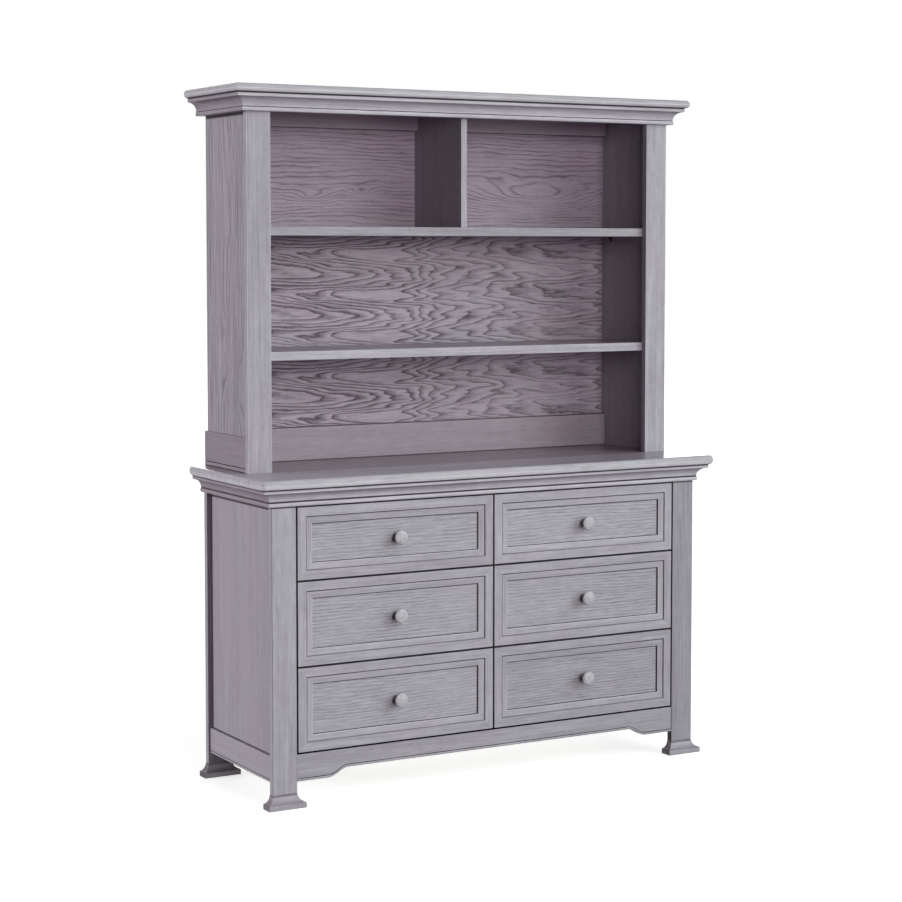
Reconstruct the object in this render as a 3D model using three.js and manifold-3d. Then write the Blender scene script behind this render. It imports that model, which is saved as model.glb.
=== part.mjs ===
// A six-drawer dresser with an open hutch that stands on its top.
// Millimetres, +Z up. X runs across the front, and Y runs from the front to the back.
// The origin is on the floor, midway between the ends and midway from the top's front edge to the back.

import * as THREE from "three";
import { mergeVertices } from "three/addons/utils/BufferGeometryUtils.js";
import Module from "manifold-3d";

const wasm = await Module();
wasm.setup();

// Overall sizes
const carcaseWidth = 1300; // across the outer faces of the legs, and of the hutch's stiles
const carcaseDepth = 423; // front face of the front legs to the back face of the back legs
const dresserHeight = 840; // floor to the upper face of the dresser's top
const hutchDepth = 285; // front face of the stiles to the back
const hutchHeight = 993; // dresser's top to the hutch's top
const fitGap = 0.3; // between pieces that are glued, screwed or seated on each other

// Legs and feet
const legWidth = 68;
const legThickness = 19;
const footHeight = 35;
const footFlare = 18.5; // how far the foot spreads past the leg
const footBlockHeight = 12.5;
const footBevel = 1.8;
const footCoveShares = [0.22, 0.12]; // where the cove's curve is pulled to, out from the leg and up

// Sides of the dresser
const sidePanelRecess = 13; // behind the legs' outer faces
const sidePanelThickness = 18;
const sideRailRecess = 5;
const sideRailThickness = 20;
const sideRailHeight = 68;
const railUnderside = 64; // floor to the lower edge of the side rails and the apron's ends

// Bead along the lower edges of the rails and the apron
const beadHeight = 7;
const beadGroove = 1.5;

// Apron
const apronTop = 134; // floor to its upper edge
const apronRise = 21.5; // how far the middle of its lower edge is raised
const apronFlatLength = 86; // from the leg to the foot of the curve
const apronCurveLength = 62;
const apronCurveShares = [0.42, 0.38]; // how far the curve runs level at its foot and at its head

// Drawer openings
const drawerGap = 3.5; // reveal around each drawer front
const lowerRowPitch = 220.4; // front height and reveal of the two lower rows
const partitionThickness = 18;
const frameThickness = 20; // the dust frames that the drawers run on
const frameRailWidth = 60;
const frameSideWidth = 84;
const frameCentreWidth = 96;
const framePanelRecess = 6;
const frontStop = 0.8; // from the back of a closed drawer front to what is behind it
const guideHeight = 14;
const guideStandout = 4.5; // how far a guide stands past the leg's inner face
const backThickness = 6;

// Tops and the moulding under them
const topThickness = 25;
const topFrontOverhang = 42;
const topSideOverhang = 46.5;
const crownThickness = 21.5;
const crownFrontOverhang = 46.5;
const crownSideOverhang = 50;
const topCornerRadius = 14; // seen from above
const topEdgeDepth = 10.5; // how far the rounded edge runs in
const topFilletSetIn = 13.5; // from the edge of the dresser's top
const crownFilletSetIn = 11.5;
const filletHeight = 10.5;
const coveHeight = 23.5;
const coveReach = 24;
const mouldingBeadHeight = 12;
const mouldingBeadStandout = 1.8; // past the foot of the cove

// Drawer fronts
const frontThickness = 19;
const frontFrameWidth = 25; // the flat border
const frontSlopeWidth = 18; // the sloped moulding inside the border
const frontStepDepth = 1.5; // from the border down to the slope
const frontSlopeDepth = 2.5; // along the slope
const frontPanelRecess = 8; // from the border's face to the panel's

// Drawer boxes
const runClearance = 1; // beside a drawer box
const boxWall = 12;
const boxHeadroom = 15;
const boxBackClearance = 14;
const bottomThickness = 6;
const bottomRise = 10; // from the box's lower edge to its bottom panel
const grooveDepth = 6;

// Knobs
const knobRadius = 18.5;
const knobLength = 33;
const knobHeadThickness = 12;
const knobNeckRadius = 8;
const knobBaseRadius = 10.5;
const knobBaseThickness = 3;
const knobShoulder = 5.5;
const knobDome = 1.5;
const screwRadius = 2;
const screwHeadRadius = 4.5;
const screwHeadThickness = 2.6;
const screwClearance = 0.5;

// Hutch
const stileWidth = 67;
const stileThickness = 19;
const hutchSideRecess = 12; // behind the stiles' outer faces
const hutchSideThickness = 16;
const hutchRailThickness = 8;
const hutchRailHeight = 92;
const hutchRailBeadHeight = 11.5;
const hutchBackThickness = 6;
const backRailThickness = 19;
const lowerBackRailHeight = 92;
const upperBackRailHeight = 68.5;
const shelfThickness = 23;
const lowerShelfUnderside = 288; // above the dresser's top
const upperShelfUnderside = 610.5;
const dividerThickness = 18;
const pinRadius = 2.5;
const pinLength = 9;
const pinInset = 45; // from a shelf's front and back edges

// Counts of facets and how far a cutting block runs past what it cuts
const curveSteps = 5;
const knobSteps = 24;
const pinSteps = 12;
const overrun = 5;
const weldDistance = 1e-4;

// Places that follow from the sizes
const frontY = (topFrontOverhang - carcaseDepth) / 2;
const legOuterX = carcaseWidth / 2;
const legInnerX = legOuterX - legWidth;
const backLegY = carcaseDepth - legThickness;
const panelOuterX = legOuterX - sidePanelRecess;
const panelInnerX = panelOuterX - sidePanelThickness;
const guideX = legInnerX - guideStandout;
const topUnderside = dresserHeight - topThickness;
const mouldingHeight = filletHeight + coveHeight + mouldingBeadHeight;
const openingTop = topUnderside - mouldingHeight;
const frameFrontY = frontThickness + frontStop;
const frameBackY = backLegY - fitGap;
const frameMiddleY = (frameFrontY + frameBackY) / 2;
const hutchFrontY = frontY + carcaseDepth - hutchDepth;
const crownUnderside = hutchHeight - crownThickness;
const hutchSideOuterX = legOuterX - hutchSideRecess;
const hutchSideInnerX = hutchSideOuterX - hutchSideThickness;
const hutchBackY = hutchDepth - hutchBackThickness;
const shelfFrontY = stileThickness + fitGap;

// The finish of each kind of piece
function finish(color, roughness) {
  return new THREE.MeshStandardMaterial({ color, roughness, metalness: 0 });
}
const faceFinish = () => finish(0xa6a4a8, 0.5);
const sideFinish = () => finish(0x918a92, 0.55);
const backFinish = () => finish(0x84757f, 0.6);
const knobFinish = () => finish(0xaaa7ab, 0.42);
const drawerBoxFinish = () => finish(0xcdb592, 0.6);
const hiddenFinish = () => finish(0xb79f7d, 0.7);

// From a closed geometry to a solid that can be cut, and back
function toSolid(geometry) {
  const bare = geometry.clone();
  bare.deleteAttribute("normal");
  bare.deleteAttribute("uv");
  const merged = mergeVertices(bare, weldDistance);
  return new wasm.Manifold(
    new wasm.Mesh({
      numProp: 3,
      vertProperties: merged.attributes.position.array,
      triVerts: new Uint32Array(merged.index.array),
    }),
  );
}

function toGeometry(solid) {
  const mesh = solid.getMesh();
  const geometry = new THREE.BufferGeometry();
  geometry.setAttribute("position", new THREE.BufferAttribute(mesh.vertProperties, 3));
  geometry.setIndex(new THREE.BufferAttribute(mesh.triVerts, 1));
  geometry.computeVertexNormals();
  return geometry;
}

// A block between two corners
function block(low, high) {
  const size = high.map((value, axis) => value - low[axis]);
  const geometry = new THREE.BoxGeometry(...size);
  geometry.translate(...low.map((value, axis) => value + size[axis] / 2));
  return toSolid(geometry);
}

// An outline of (y, z) points run along X, and an outline of (x, z) points run along Y
const axisX = new THREE.Vector3(1, 0, 0);
const axisY = new THREE.Vector3(0, 1, 0);
const axisZ = new THREE.Vector3(0, 0, 1);
const turnAlongX = new THREE.Matrix4().makeBasis(axisY, axisZ, axisX);
const turnAlongY = new THREE.Matrix4().makeBasis(axisX, axisZ, axisY.clone().negate());

function extruded(outline, depth) {
  return new THREE.ExtrudeGeometry(new THREE.Shape(outline), { depth, bevelEnabled: false });
}

function runAlongX(outline, fromX, toX) {
  const geometry = extruded(outline, toX - fromX);
  geometry.applyMatrix4(turnAlongX);
  geometry.translate(fromX, 0, 0);
  return toSolid(geometry);
}

function runAlongY(outline, fromY, toY) {
  const geometry = extruded(outline, toY - fromY);
  geometry.applyMatrix4(turnAlongY);
  geometry.translate(0, toY, 0);
  return toSolid(geometry);
}

function runAlongZ(outline, fromZ, toZ) {
  const geometry = extruded(outline, toZ - fromZ);
  geometry.translate(0, 0, fromZ);
  return toSolid(geometry);
}

const point = (x, y) => new THREE.Vector2(x, y);

// A board whose edge has the same shape at the front and at both ends, with mitred corners.
// Each edge point holds how far it stands in from the outermost edge, and its height.
function edgedBoard(edge, halfWidth, fromY, toY) {
  const left = edge.map((p) => point(p.x - halfWidth, p.y));
  const right = edge.map((p) => point(halfWidth - p.x, p.y)).reverse();
  const front = edge.map((p) => point(fromY + p.x, p.y));
  const across = runAlongY([...left, ...right], fromY, toY);
  const back = [point(toY, edge.at(-1).y), point(toY, edge[0].y)];
  return across.intersect(runAlongX([...front, ...back], -halfWidth, halfWidth));
}

// Pieces in the scene graph
function addMesh(group, name, geometry, material, x, y, z) {
  const mesh = new THREE.Mesh(geometry, material);
  mesh.name = name;
  mesh.position.set(x, y, z);
  group.add(mesh);
  return mesh;
}

function addBoard(group, name, material, low, high) {
  const size = high.map((value, axis) => value - low[axis]);
  const centre = low.map((value, axis) => value + size[axis] / 2);
  return addMesh(group, name, new THREE.BoxGeometry(...size), material, ...centre);
}

const sides = [
  { name: "left", sign: -1 },
  { name: "right", sign: 1 },
];

// Legs and feet

// The foot's edge, from the floor up: how far it stands out past the leg, and its height
function footEdge() {
  const path = new THREE.Path();
  const coveFoot = footBlockHeight + footBevel;
  const coveReachOut = footFlare - footBevel;
  path.moveTo(footFlare, 0);
  path.lineTo(footFlare, footBlockHeight);
  path.lineTo(coveReachOut, coveFoot);
  path.quadraticCurveTo(
    coveReachOut * footCoveShares[0],
    coveFoot + (footHeight - coveFoot) * footCoveShares[1],
    0,
    footHeight,
  );
  return path.getPoints(curveSteps);
}

function footSolid() {
  const edge = footEdge().map((p) => point(footFlare - p.x, p.y));
  return edgedBoard(edge, legWidth / 2 + footFlare, -footFlare, legThickness);
}

function addLegs(group) {
  const footGeometry = toGeometry(footSolid());
  const legFoot = footHeight + fitGap;
  const legLength = topUnderside - fitGap - legFoot;
  const legCentreX = legOuterX - legWidth / 2;
  const rows = [
    { name: "front", y: 0 },
    { name: "back", y: backLegY },
  ];
  for (const row of rows) {
    for (const side of sides) {
      const label = row.name + "_" + side.name;
      const x = side.sign * legCentreX;
      const legGeometry = new THREE.BoxGeometry(legWidth, legThickness, legLength);
      const legY = row.y + legThickness / 2;
      addMesh(group, "leg_" + label, legGeometry, faceFinish(), x, legY, legFoot + legLength / 2);
      addMesh(group, "foot_" + label, footGeometry.clone(), faceFinish(), x, row.y, 0);
    }
  }
}

// Rows of drawers, counted from the bottom: the height of the reveal's centre under a row,
// of the frame that the row runs on, of what is over its boxes, and of its fronts' upper edges
const rowNames = ["bottom", "middle", "top"];
const isTopRow = (row) => row === rowNames.length - 1;
const gapZ = (row) => apronTop + drawerGap / 2 + row * lowerRowPitch;
const frameTopZ = (row) => gapZ(row) + frameThickness / 2;
const ceilingZ = (row) => (isTopRow(row) ? openingTop : gapZ(row + 1) - frameThickness / 2);
const frontTopZ = (row) => (isTopRow(row) ? openingTop - drawerGap : gapZ(row + 1) - drawerGap / 2);

// Side panels, each with the three guides that steer the drawers

function sidePanelSolid(sign) {
  const fromY = legThickness + fitGap;
  const bottom = railUnderside + sideRailHeight + fitGap;
  const ordered = (a, b) => (a < b ? [a, b] : [b, a]);
  const [lowX, highX] = ordered(sign * panelInnerX, sign * panelOuterX);
  let solid = block([lowX, fromY, bottom], [highX, frameBackY, topUnderside - fitGap]);
  const rootX = sign * (panelInnerX + sidePanelThickness / 2);
  const [guideLowX, guideHighX] = ordered(sign * guideX, rootX);
  rowNames.forEach((name, row) => {
    const foot = frameTopZ(row) + fitGap;
    const low = [guideLowX, frameFrontY, foot];
    solid = solid.add(block(low, [guideHighX, frameBackY, foot + guideHeight]));
  });
  return solid;
}

// A rail's outline across its thickness, with a groove above its bead: (x, z), face on the low side
function railOutline(thickness, height, bead) {
  return [
    point(0, 0),
    point(0, bead - beadGroove),
    point(beadGroove, bead),
    point(0, bead + beadGroove),
    point(0, height),
    point(thickness, height),
    point(thickness, 0),
  ];
}

function addSides(group) {
  const outline = railOutline(sideRailThickness, sideRailHeight, beadHeight);
  const fromY = legThickness + fitGap;
  for (const side of sides) {
    const panel = toGeometry(sidePanelSolid(side.sign));
    addMesh(group, "side_panel_" + side.name, panel, sideFinish(), 0, 0, 0);
    const turned = outline.map((p) => point(-side.sign * p.x, p.y));
    const rail = toGeometry(runAlongY(turned, fromY, frameBackY));
    const railX = side.sign * (legOuterX - sideRailRecess);
    addMesh(group, "side_rail_" + side.name, rail, sideFinish(), railX, 0, railUnderside);
  }
}

// The apron's lower edge from the left leg to the right one, raised in the middle
function apronEdge(lift) {
  const path = new THREE.Path();
  const endX = legInnerX - fitGap;
  const curveFoot = legInnerX - apronFlatLength;
  const curveHead = curveFoot - apronCurveLength;
  const low = railUnderside + lift;
  const high = low + apronRise;
  const footPull = curveFoot - apronCurveLength * apronCurveShares[0];
  const headPull = curveHead + apronCurveLength * apronCurveShares[1];
  path.moveTo(-endX, low);
  path.lineTo(-curveFoot, low);
  path.bezierCurveTo(-footPull, low, -headPull, high, -curveHead, high);
  path.lineTo(curveHead, high);
  path.bezierCurveTo(headPull, high, footPull, low, curveFoot, low);
  path.lineTo(endX, low);
  return path.getPoints(2 * curveSteps);
}

// The face stands back by the groove's depth, so that the bead is level with the legs
function apronSolid() {
  const endX = legInnerX - fitGap;
  const lower = apronEdge(0);
  const plate = [...lower, point(endX, apronTop), point(-endX, apronTop)];
  const bead = [...lower, ...apronEdge(beadHeight).reverse()];
  const face = runAlongY(plate, beadGroove, legThickness);
  return face.add(runAlongY(bead, 0, legThickness / 2));
}

// A dust frame: four rails around two thin panels, halved to the partition where it has a slot
function dustFrameSolid(slotted) {
  const halfWidth = panelInnerX - fitGap;
  const half = frameThickness / 2;
  let solid = block([-halfWidth, frameFrontY, -half], [halfWidth, frameBackY, half]);
  const panelLow = frameCentreWidth / 2;
  const panelHigh = halfWidth - frameSideWidth;
  const panelFront = frameFrontY + frameRailWidth;
  const panelBack = frameBackY - frameRailWidth;
  for (const [lowX, highX] of [[-panelHigh, -panelLow], [panelLow, panelHigh]]) {
    const above = [lowX, panelFront, half - framePanelRecess];
    const below = [highX, panelBack, framePanelRecess - half];
    solid = solid.subtract(block(above, [highX, panelBack, half + overrun]));
    solid = solid.subtract(block([lowX, panelFront, -half - overrun], below));
  }
  if (slotted) {
    const slotX = partitionThickness / 2 + fitGap;
    const slotFront = [-slotX, frameFrontY - overrun, -half - overrun];
    solid = solid.subtract(block(slotFront, [slotX, frameMiddleY + fitGap / 2, half + overrun]));
  }
  return solid;
}

// The top frame: a deep front rail between the legs, with a dust frame behind it
function topFrameSolid() {
  const railX = legInnerX - fitGap;
  const lift = openingTop + frameThickness / 2;
  const frame = dustFrameSolid(false).translate(0, 0, lift);
  const railTop = topUnderside - fitGap;
  return frame.add(block([-railX, 0, openingTop], [railX, frameFrontY + frameRailWidth / 2, railTop]));
}

// The partition stands on the bottom frame and is notched at the back for the two frames it crosses
function partitionSolid() {
  const half = partitionThickness / 2;
  const reach = frameThickness / 2 + fitGap;
  const low = [-half, frameFrontY, frameTopZ(0) + fitGap];
  let solid = block(low, [half, frameBackY, openingTop - fitGap]);
  for (let row = 1; row < rowNames.length; row += 1) {
    const z = gapZ(row);
    const notchFront = [-half - overrun, frameMiddleY - fitGap / 2, z - reach];
    solid = solid.subtract(block(notchFront, [half + overrun, frameBackY + overrun, z + reach]));
  }
  return solid;
}

function addCarcase(group) {
  addMesh(group, "front_apron", toGeometry(apronSolid()), faceFinish(), 0, 0, 0);
  addMesh(group, "top_frame", toGeometry(topFrameSolid()), hiddenFinish(), 0, 0, 0);
  const frameNames = ["dust_frame_bottom", "dust_frame_lower", "dust_frame_upper"];
  frameNames.forEach((name, row) => {
    const frame = toGeometry(dustFrameSolid(row > 0));
    addMesh(group, name, frame, hiddenFinish(), 0, 0, gapZ(row));
  });
  addMesh(group, "centre_partition", toGeometry(partitionSolid()), hiddenFinish(), 0, 0, 0);
  const backX = legInnerX - fitGap;
  const backLow = [-backX, backLegY, frameTopZ(0) - frameThickness];
  const backHigh = [backX, backLegY + backThickness, topUnderside - fitGap];
  addBoard(group, "dresser_back", backFinish(), backLow, backHigh);
}

// Tops with a rounded edge, and the fillet, cove and bead moulding under them

function arc(x, y, radiusX, radiusY, from, to) {
  return new THREE.EllipseCurve(x, y, radiusX, radiusY, from, to, to < from).getPoints(curveSteps);
}

const quarterTurn = Math.PI / 2;

function roundedEdge(thickness) {
  const half = thickness / 2;
  const lower = arc(topEdgeDepth, half, topEdgeDepth, half, -quarterTurn, -2 * quarterTurn);
  const upper = arc(topEdgeDepth, half, topEdgeDepth, half, -2 * quarterTurn, -3 * quarterTurn);
  return [...lower, ...upper.slice(1)];
}

// A top's outline at one height: its corners are round, and its back edge isn't drawn in
function topOutline(setIn, halfWidth, fromY, toY) {
  const centreX = halfWidth - topCornerRadius;
  const frontCentreY = fromY + topCornerRadius;
  const backCentreY = toY - topCornerRadius;
  const reach = topCornerRadius - setIn;
  return [
    ...arc(-centreX, backCentreY, reach, topCornerRadius, quarterTurn, 2 * quarterTurn),
    ...arc(-centreX, frontCentreY, reach, reach, 2 * quarterTurn, 3 * quarterTurn),
    ...arc(centreX, frontCentreY, reach, reach, 3 * quarterTurn, 4 * quarterTurn),
    ...arc(centreX, backCentreY, reach, topCornerRadius, 0, quarterTurn),
  ];
}

// A top is skinned over its outlines, from the underside up
function topGeometry(thickness, halfWidth, fromY, toY) {
  const edge = roundedEdge(thickness);
  const outlines = edge.map((p) => topOutline(p.x, halfWidth, fromY, toY));
  const places = outlines.flatMap((outline, level) => outline.flatMap((p) => [p.x, p.y, edge[level].y]));
  const count = outlines[0].length;
  const cap = THREE.ShapeUtils.triangulateShape(outlines[0], []);
  const upperFirst = count * (edge.length - 1);
  const faces = cap.flatMap(([a, b, c]) => [c, b, a, a + upperFirst, b + upperFirst, c + upperFirst]);
  for (let level = 0; level < upperFirst; level += count) {
    for (let index = 0; index < count; index += 1) {
      const a = level + index;
      const b = level + ((index + 1) % count);
      faces.push(a, b, b + count, a, b + count, a + count);
    }
  }
  const geometry = new THREE.BufferGeometry();
  geometry.setAttribute("position", new THREE.Float32BufferAttribute(places, 3));
  geometry.setIndex(faces);
  geometry.computeVertexNormals();
  return geometry;
}

function mouldingEdge(filletSetIn) {
  const coveFootIn = filletSetIn + coveReach;
  const half = mouldingBeadHeight / 2;
  const bead = arc(coveFootIn, half, mouldingBeadStandout, half, -quarterTurn, -3 * quarterTurn);
  const cove = arc(filletSetIn, mouldingBeadHeight, coveReach, coveHeight, 0, quarterTurn);
  return [...bead, ...cove.slice(1), point(filletSetIn, mouldingHeight - fitGap)];
}

// The moulding is mitred around the front and both ends, and fits against the posts and the sides
function mouldingSolid(filletSetIn, halfWidth, fromY, depth, panelX, posts) {
  const bottom = -overrun;
  const high = mouldingHeight + overrun;
  const inside = panelX + fitGap;
  const postX = legOuterX + fitGap;
  let solid = edgedBoard(mouldingEdge(filletSetIn), halfWidth, fromY, depth);
  solid = solid.subtract(block([-inside, -fitGap, bottom], [inside, depth + overrun, high]));
  for (const [postFront, postBack] of posts) {
    const low = [-postX, postFront - fitGap, bottom];
    solid = solid.subtract(block(low, [postX, postBack + fitGap, high]));
  }
  return solid;
}

function addTop(group) {
  const halfWidth = legOuterX + topSideOverhang;
  const front = -topFrontOverhang;
  const top = topGeometry(topThickness, halfWidth, front, carcaseDepth);
  addMesh(group, "dresser_top", top, faceFinish(), 0, 0, topUnderside);
  const legs = [
    [0, legThickness],
    [backLegY, carcaseDepth],
  ];
  const moulding = toGeometry(
    mouldingSolid(topFilletSetIn, halfWidth, front, carcaseDepth, panelOuterX, legs),
  );
  addMesh(group, "top_moulding", moulding, faceFinish(), 0, 0, openingTop);
}

// Drawers

// A drawer's front: a flat border, a step, a sloped moulding and a sunk panel, with a screw hole
function drawerFrontSolid(width, height) {
  const slopeFoot = frontFrameWidth + frontSlopeWidth;
  const edge = [
    point(frontFrameWidth, -overrun),
    point(frontFrameWidth, frontStepDepth),
    point(slopeFoot, frontStepDepth + frontSlopeDepth),
    point(slopeFoot, frontPanelRecess),
  ];
  const halfWidth = width / 2;
  const halfHeight = height / 2;
  const left = edge.map((p) => point(p.x - halfWidth, p.y));
  const right = edge.map((p) => point(halfWidth - p.x, p.y)).reverse();
  const lower = edge.map((p) => point(p.y, p.x - halfHeight));
  const upper = edge.map((p) => point(p.y, halfHeight - p.x)).reverse();
  const across = runAlongZ([...left, ...right], -halfHeight, halfHeight);
  const recess = across.intersect(runAlongX([...lower, ...upper], -halfWidth, halfWidth));
  const board = block([-halfWidth, 0, -halfHeight], [halfWidth, frontThickness, halfHeight]);
  return board.subtract(recess).subtract(screwHole(0));
}

// The hole that a knob's screw passes through, in the front and in the box behind it
function screwHole(x) {
  const radius = screwRadius + screwClearance;
  const length = 2 * (frontThickness + boxWall + overrun);
  const hole = new THREE.CylinderGeometry(radius, radius, length, pinSteps);
  hole.translate(x, 0, 0);
  return toSolid(hole);
}

// The box's four walls, grooved for the bottom panel; the origin is at its front, mid-width, at its foot
function drawerBoxSolid(width, depth, height, holeX, holeZ) {
  const halfWidth = width / 2;
  const innerX = halfWidth - boxWall;
  const wallBack = depth - boxWall;
  const outer = block([-halfWidth, 0, 0], [halfWidth, depth, height]);
  const inner = block([-innerX, boxWall, -overrun], [innerX, wallBack, height + overrun]);
  const grooveX = innerX + grooveDepth + fitGap;
  const grooveIn = boxWall - grooveDepth - fitGap;
  const grooveLow = [-grooveX, grooveIn, bottomRise - fitGap];
  const grooveHigh = [grooveX, depth - grooveIn, bottomRise + bottomThickness + fitGap];
  const hole = screwHole(holeX).translate(0, 0, holeZ);
  return outer.subtract(inner).subtract(block(grooveLow, grooveHigh)).subtract(hole);
}

// The knob's outline from the screw's head to the face: radius, and height above the sunk panel
function knobOutline() {
  const headFront = frontPanelRecess - frontThickness - boxWall - 2 * fitGap;
  const headBack = headFront - screwHeadThickness;
  const headUnder = knobLength - knobHeadThickness;
  const rimFoot = headUnder + knobShoulder;
  const faceRadius = knobRadius - knobShoulder;
  const faceHeight = knobLength - knobDome;
  const rimTop = faceHeight - knobShoulder;
  const neck = new THREE.QuadraticBezierCurve(
    point(knobBaseRadius, knobBaseThickness),
    point(knobNeckRadius / 2, headUnder / 2),
    point(faceRadius, headUnder),
  ).getPoints(curveSteps);
  const underside = arc(faceRadius, rimFoot, knobShoulder, knobShoulder, -quarterTurn, 0);
  const rim = arc(faceRadius, rimTop, knobShoulder, knobShoulder, 0, quarterTurn);
  return [
    point(0, headBack),
    point(screwHeadRadius, headBack),
    point(screwHeadRadius, headFront),
    point(screwRadius, headFront),
    point(screwRadius, fitGap),
    point(knobBaseRadius, fitGap),
    ...neck,
    ...underside.slice(1),
    ...rim,
    point(faceRadius / 2, knobLength - knobDome / 4),
    point(0, knobLength),
  ];
}

function addDrawers(group) {
  const frontWidth = legInnerX - drawerGap - drawerGap / 2;
  const frontX = (frontWidth + drawerGap) / 2;
  const boxLowX = partitionThickness / 2 + runClearance;
  const boxHighX = guideX - runClearance;
  const boxWidth = boxHighX - boxLowX;
  const boxX = (boxLowX + boxHighX) / 2 - frontX;
  const boxFrontY = frontThickness + fitGap;
  const boxDepth = backLegY - boxBackClearance - boxFrontY;
  const knobGeometry = new THREE.LatheGeometry(knobOutline(), knobSteps);
  const panelWidth = boxWidth - 2 * (boxWall - grooveDepth);
  const panelDepth = boxDepth - 2 * (boxWall - grooveDepth);
  rowNames.forEach((rowName, row) => {
    const frontFoot = gapZ(row) + drawerGap / 2;
    const frontHeight = frontTopZ(row) - frontFoot;
    const centreZ = frontFoot + frontHeight / 2;
    const boxFoot = frameTopZ(row) + fitGap;
    const boxHeight = ceilingZ(row) - boxHeadroom - boxFoot;
    for (const side of sides) {
      const label = "drawer_" + rowName + "_" + side.name;
      const drawer = new THREE.Group();
      drawer.position.set(side.sign * frontX, 0, centreZ);
      group.add(drawer);
      const front = toGeometry(drawerFrontSolid(frontWidth, frontHeight));
      addMesh(drawer, label + "_front", front, faceFinish(), 0, 0, 0);
      const offset = side.sign * boxX;
      const box = drawerBoxSolid(boxWidth, boxDepth, boxHeight, -offset, centreZ - boxFoot);
      const boxZ = boxFoot - centreZ;
      addMesh(drawer, label + "_box", toGeometry(box), drawerBoxFinish(), offset, boxFrontY, boxZ);
      const panel = new THREE.BoxGeometry(panelWidth, panelDepth, bottomThickness);
      const panelZ = boxZ + bottomRise + bottomThickness / 2;
      const panelY = boxFrontY + boxDepth / 2;
      addMesh(drawer, label + "_bottom", panel, drawerBoxFinish(), offset, panelY, panelZ);
      const knob = addMesh(drawer, label + "_knob", knobGeometry.clone(), knobFinish(), 0, 0, 0);
      knob.position.y = frontPanelRecess;
      knob.rotation.x = Math.PI;
    }
  });
}

// Hutch

// A hutch side with the pins that its shelves rest on, two under the end of each shelf
function hutchSideSolid(sign) {
  const lowX = Math.min(sign * hutchSideInnerX, sign * hutchSideOuterX);
  const highX = lowX + hutchSideThickness;
  const top = crownUnderside - fitGap;
  let solid = block([lowX, stileThickness + fitGap, fitGap], [highX, hutchDepth, top]);
  const rootX = hutchSideInnerX + hutchSideThickness / 2;
  const tipX = hutchSideInnerX - pinLength;
  for (const underside of [lowerShelfUnderside, upperShelfUnderside]) {
    for (const y of [shelfFrontY + pinInset, hutchBackY - pinInset]) {
      const pin = new THREE.CylinderGeometry(pinRadius, pinRadius, rootX - tipX, pinSteps);
      pin.rotateZ(quarterTurn);
      pin.translate((sign * (rootX + tipX)) / 2, y, underside - fitGap - pinRadius);
      solid = solid.add(toSolid(pin));
    }
  }
  return solid;
}

function addHutchSides(group) {
  const top = crownUnderside - fitGap;
  const stileInnerX = legOuterX - stileWidth;
  const outline = railOutline(hutchRailThickness, hutchRailHeight - fitGap, hutchRailBeadHeight);
  for (const side of sides) {
    const stile = new THREE.BoxGeometry(stileWidth, stileThickness, top - fitGap);
    const stileX = side.sign * (legOuterX - stileWidth / 2);
    const stileZ = (top + fitGap) / 2;
    const stileY = stileThickness / 2;
    addMesh(group, "hutch_stile_" + side.name, stile, faceFinish(), stileX, stileY, stileZ);
    const panel = toGeometry(hutchSideSolid(side.sign));
    addMesh(group, "hutch_side_" + side.name, panel, sideFinish(), 0, 0, 0);
    const turned = outline.map((p) => point(-side.sign * p.x, p.y));
    const rail = toGeometry(runAlongY(turned, stileThickness + fitGap, hutchDepth));
    const railX = side.sign * (hutchSideOuterX + fitGap + hutchRailThickness);
    addMesh(group, "hutch_side_rail_" + side.name, rail, sideFinish(), railX, 0, fitGap);
  }
  const headerX = stileInnerX - fitGap;
  const headerLow = [-headerX, 0, crownUnderside - mouldingHeight];
  addBoard(group, "hutch_header", faceFinish(), headerLow, [headerX, stileThickness, top]);
}

function addHutchInside(group) {
  const halfWidth = hutchSideInnerX - fitGap;
  const top = crownUnderside - fitGap;
  const backFace = hutchBackY - fitGap;
  const railFront = backFace - backRailThickness;
  const backHigh = [halfWidth, hutchDepth, top];
  addBoard(group, "hutch_back", backFinish(), [-halfWidth, hutchBackY, fitGap], backHigh);
  const lowerHigh = [halfWidth, backFace, lowerBackRailHeight];
  addBoard(group, "hutch_back_rail_lower", backFinish(), [-halfWidth, railFront, fitGap], lowerHigh);
  const upperLow = [-halfWidth, railFront, crownUnderside - upperBackRailHeight];
  addBoard(group, "hutch_back_rail_upper", backFinish(), upperLow, [halfWidth, backFace, top]);
  const shelves = [
    { name: "hutch_shelf_lower", z: lowerShelfUnderside },
    { name: "hutch_shelf_upper", z: upperShelfUnderside },
  ];
  for (const shelf of shelves) {
    const low = [-halfWidth, shelfFrontY, shelf.z];
    addBoard(group, shelf.name, faceFinish(), low, [halfWidth, backFace, shelf.z + shelfThickness]);
  }
  const half = dividerThickness / 2;
  const dividerFoot = upperShelfUnderside + shelfThickness + fitGap;
  const divider = block([-half, shelfFrontY, dividerFoot], [half, backFace, top]);
  const notch = block(
    [-half - overrun, railFront - fitGap, crownUnderside - upperBackRailHeight - fitGap],
    [half + overrun, backFace + overrun, top + overrun],
  );
  const geometry = toGeometry(divider.subtract(notch));
  addMesh(group, "hutch_divider", geometry, faceFinish(), 0, 0, 0);
}

function addCrown(group) {
  const halfWidth = legOuterX + crownSideOverhang;
  const front = -crownFrontOverhang;
  const top = topGeometry(crownThickness, halfWidth, front, hutchDepth);
  addMesh(group, "hutch_top", top, faceFinish(), 0, 0, crownUnderside);
  const stiles = [[0, stileThickness]];
  const moulding = toGeometry(
    mouldingSolid(crownFilletSetIn, halfWidth, front, hutchDepth, hutchSideOuterX, stiles),
  );
  const mouldingZ = crownUnderside - mouldingHeight;
  addMesh(group, "crown_moulding", moulding, faceFinish(), 0, 0, mouldingZ);
}

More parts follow.
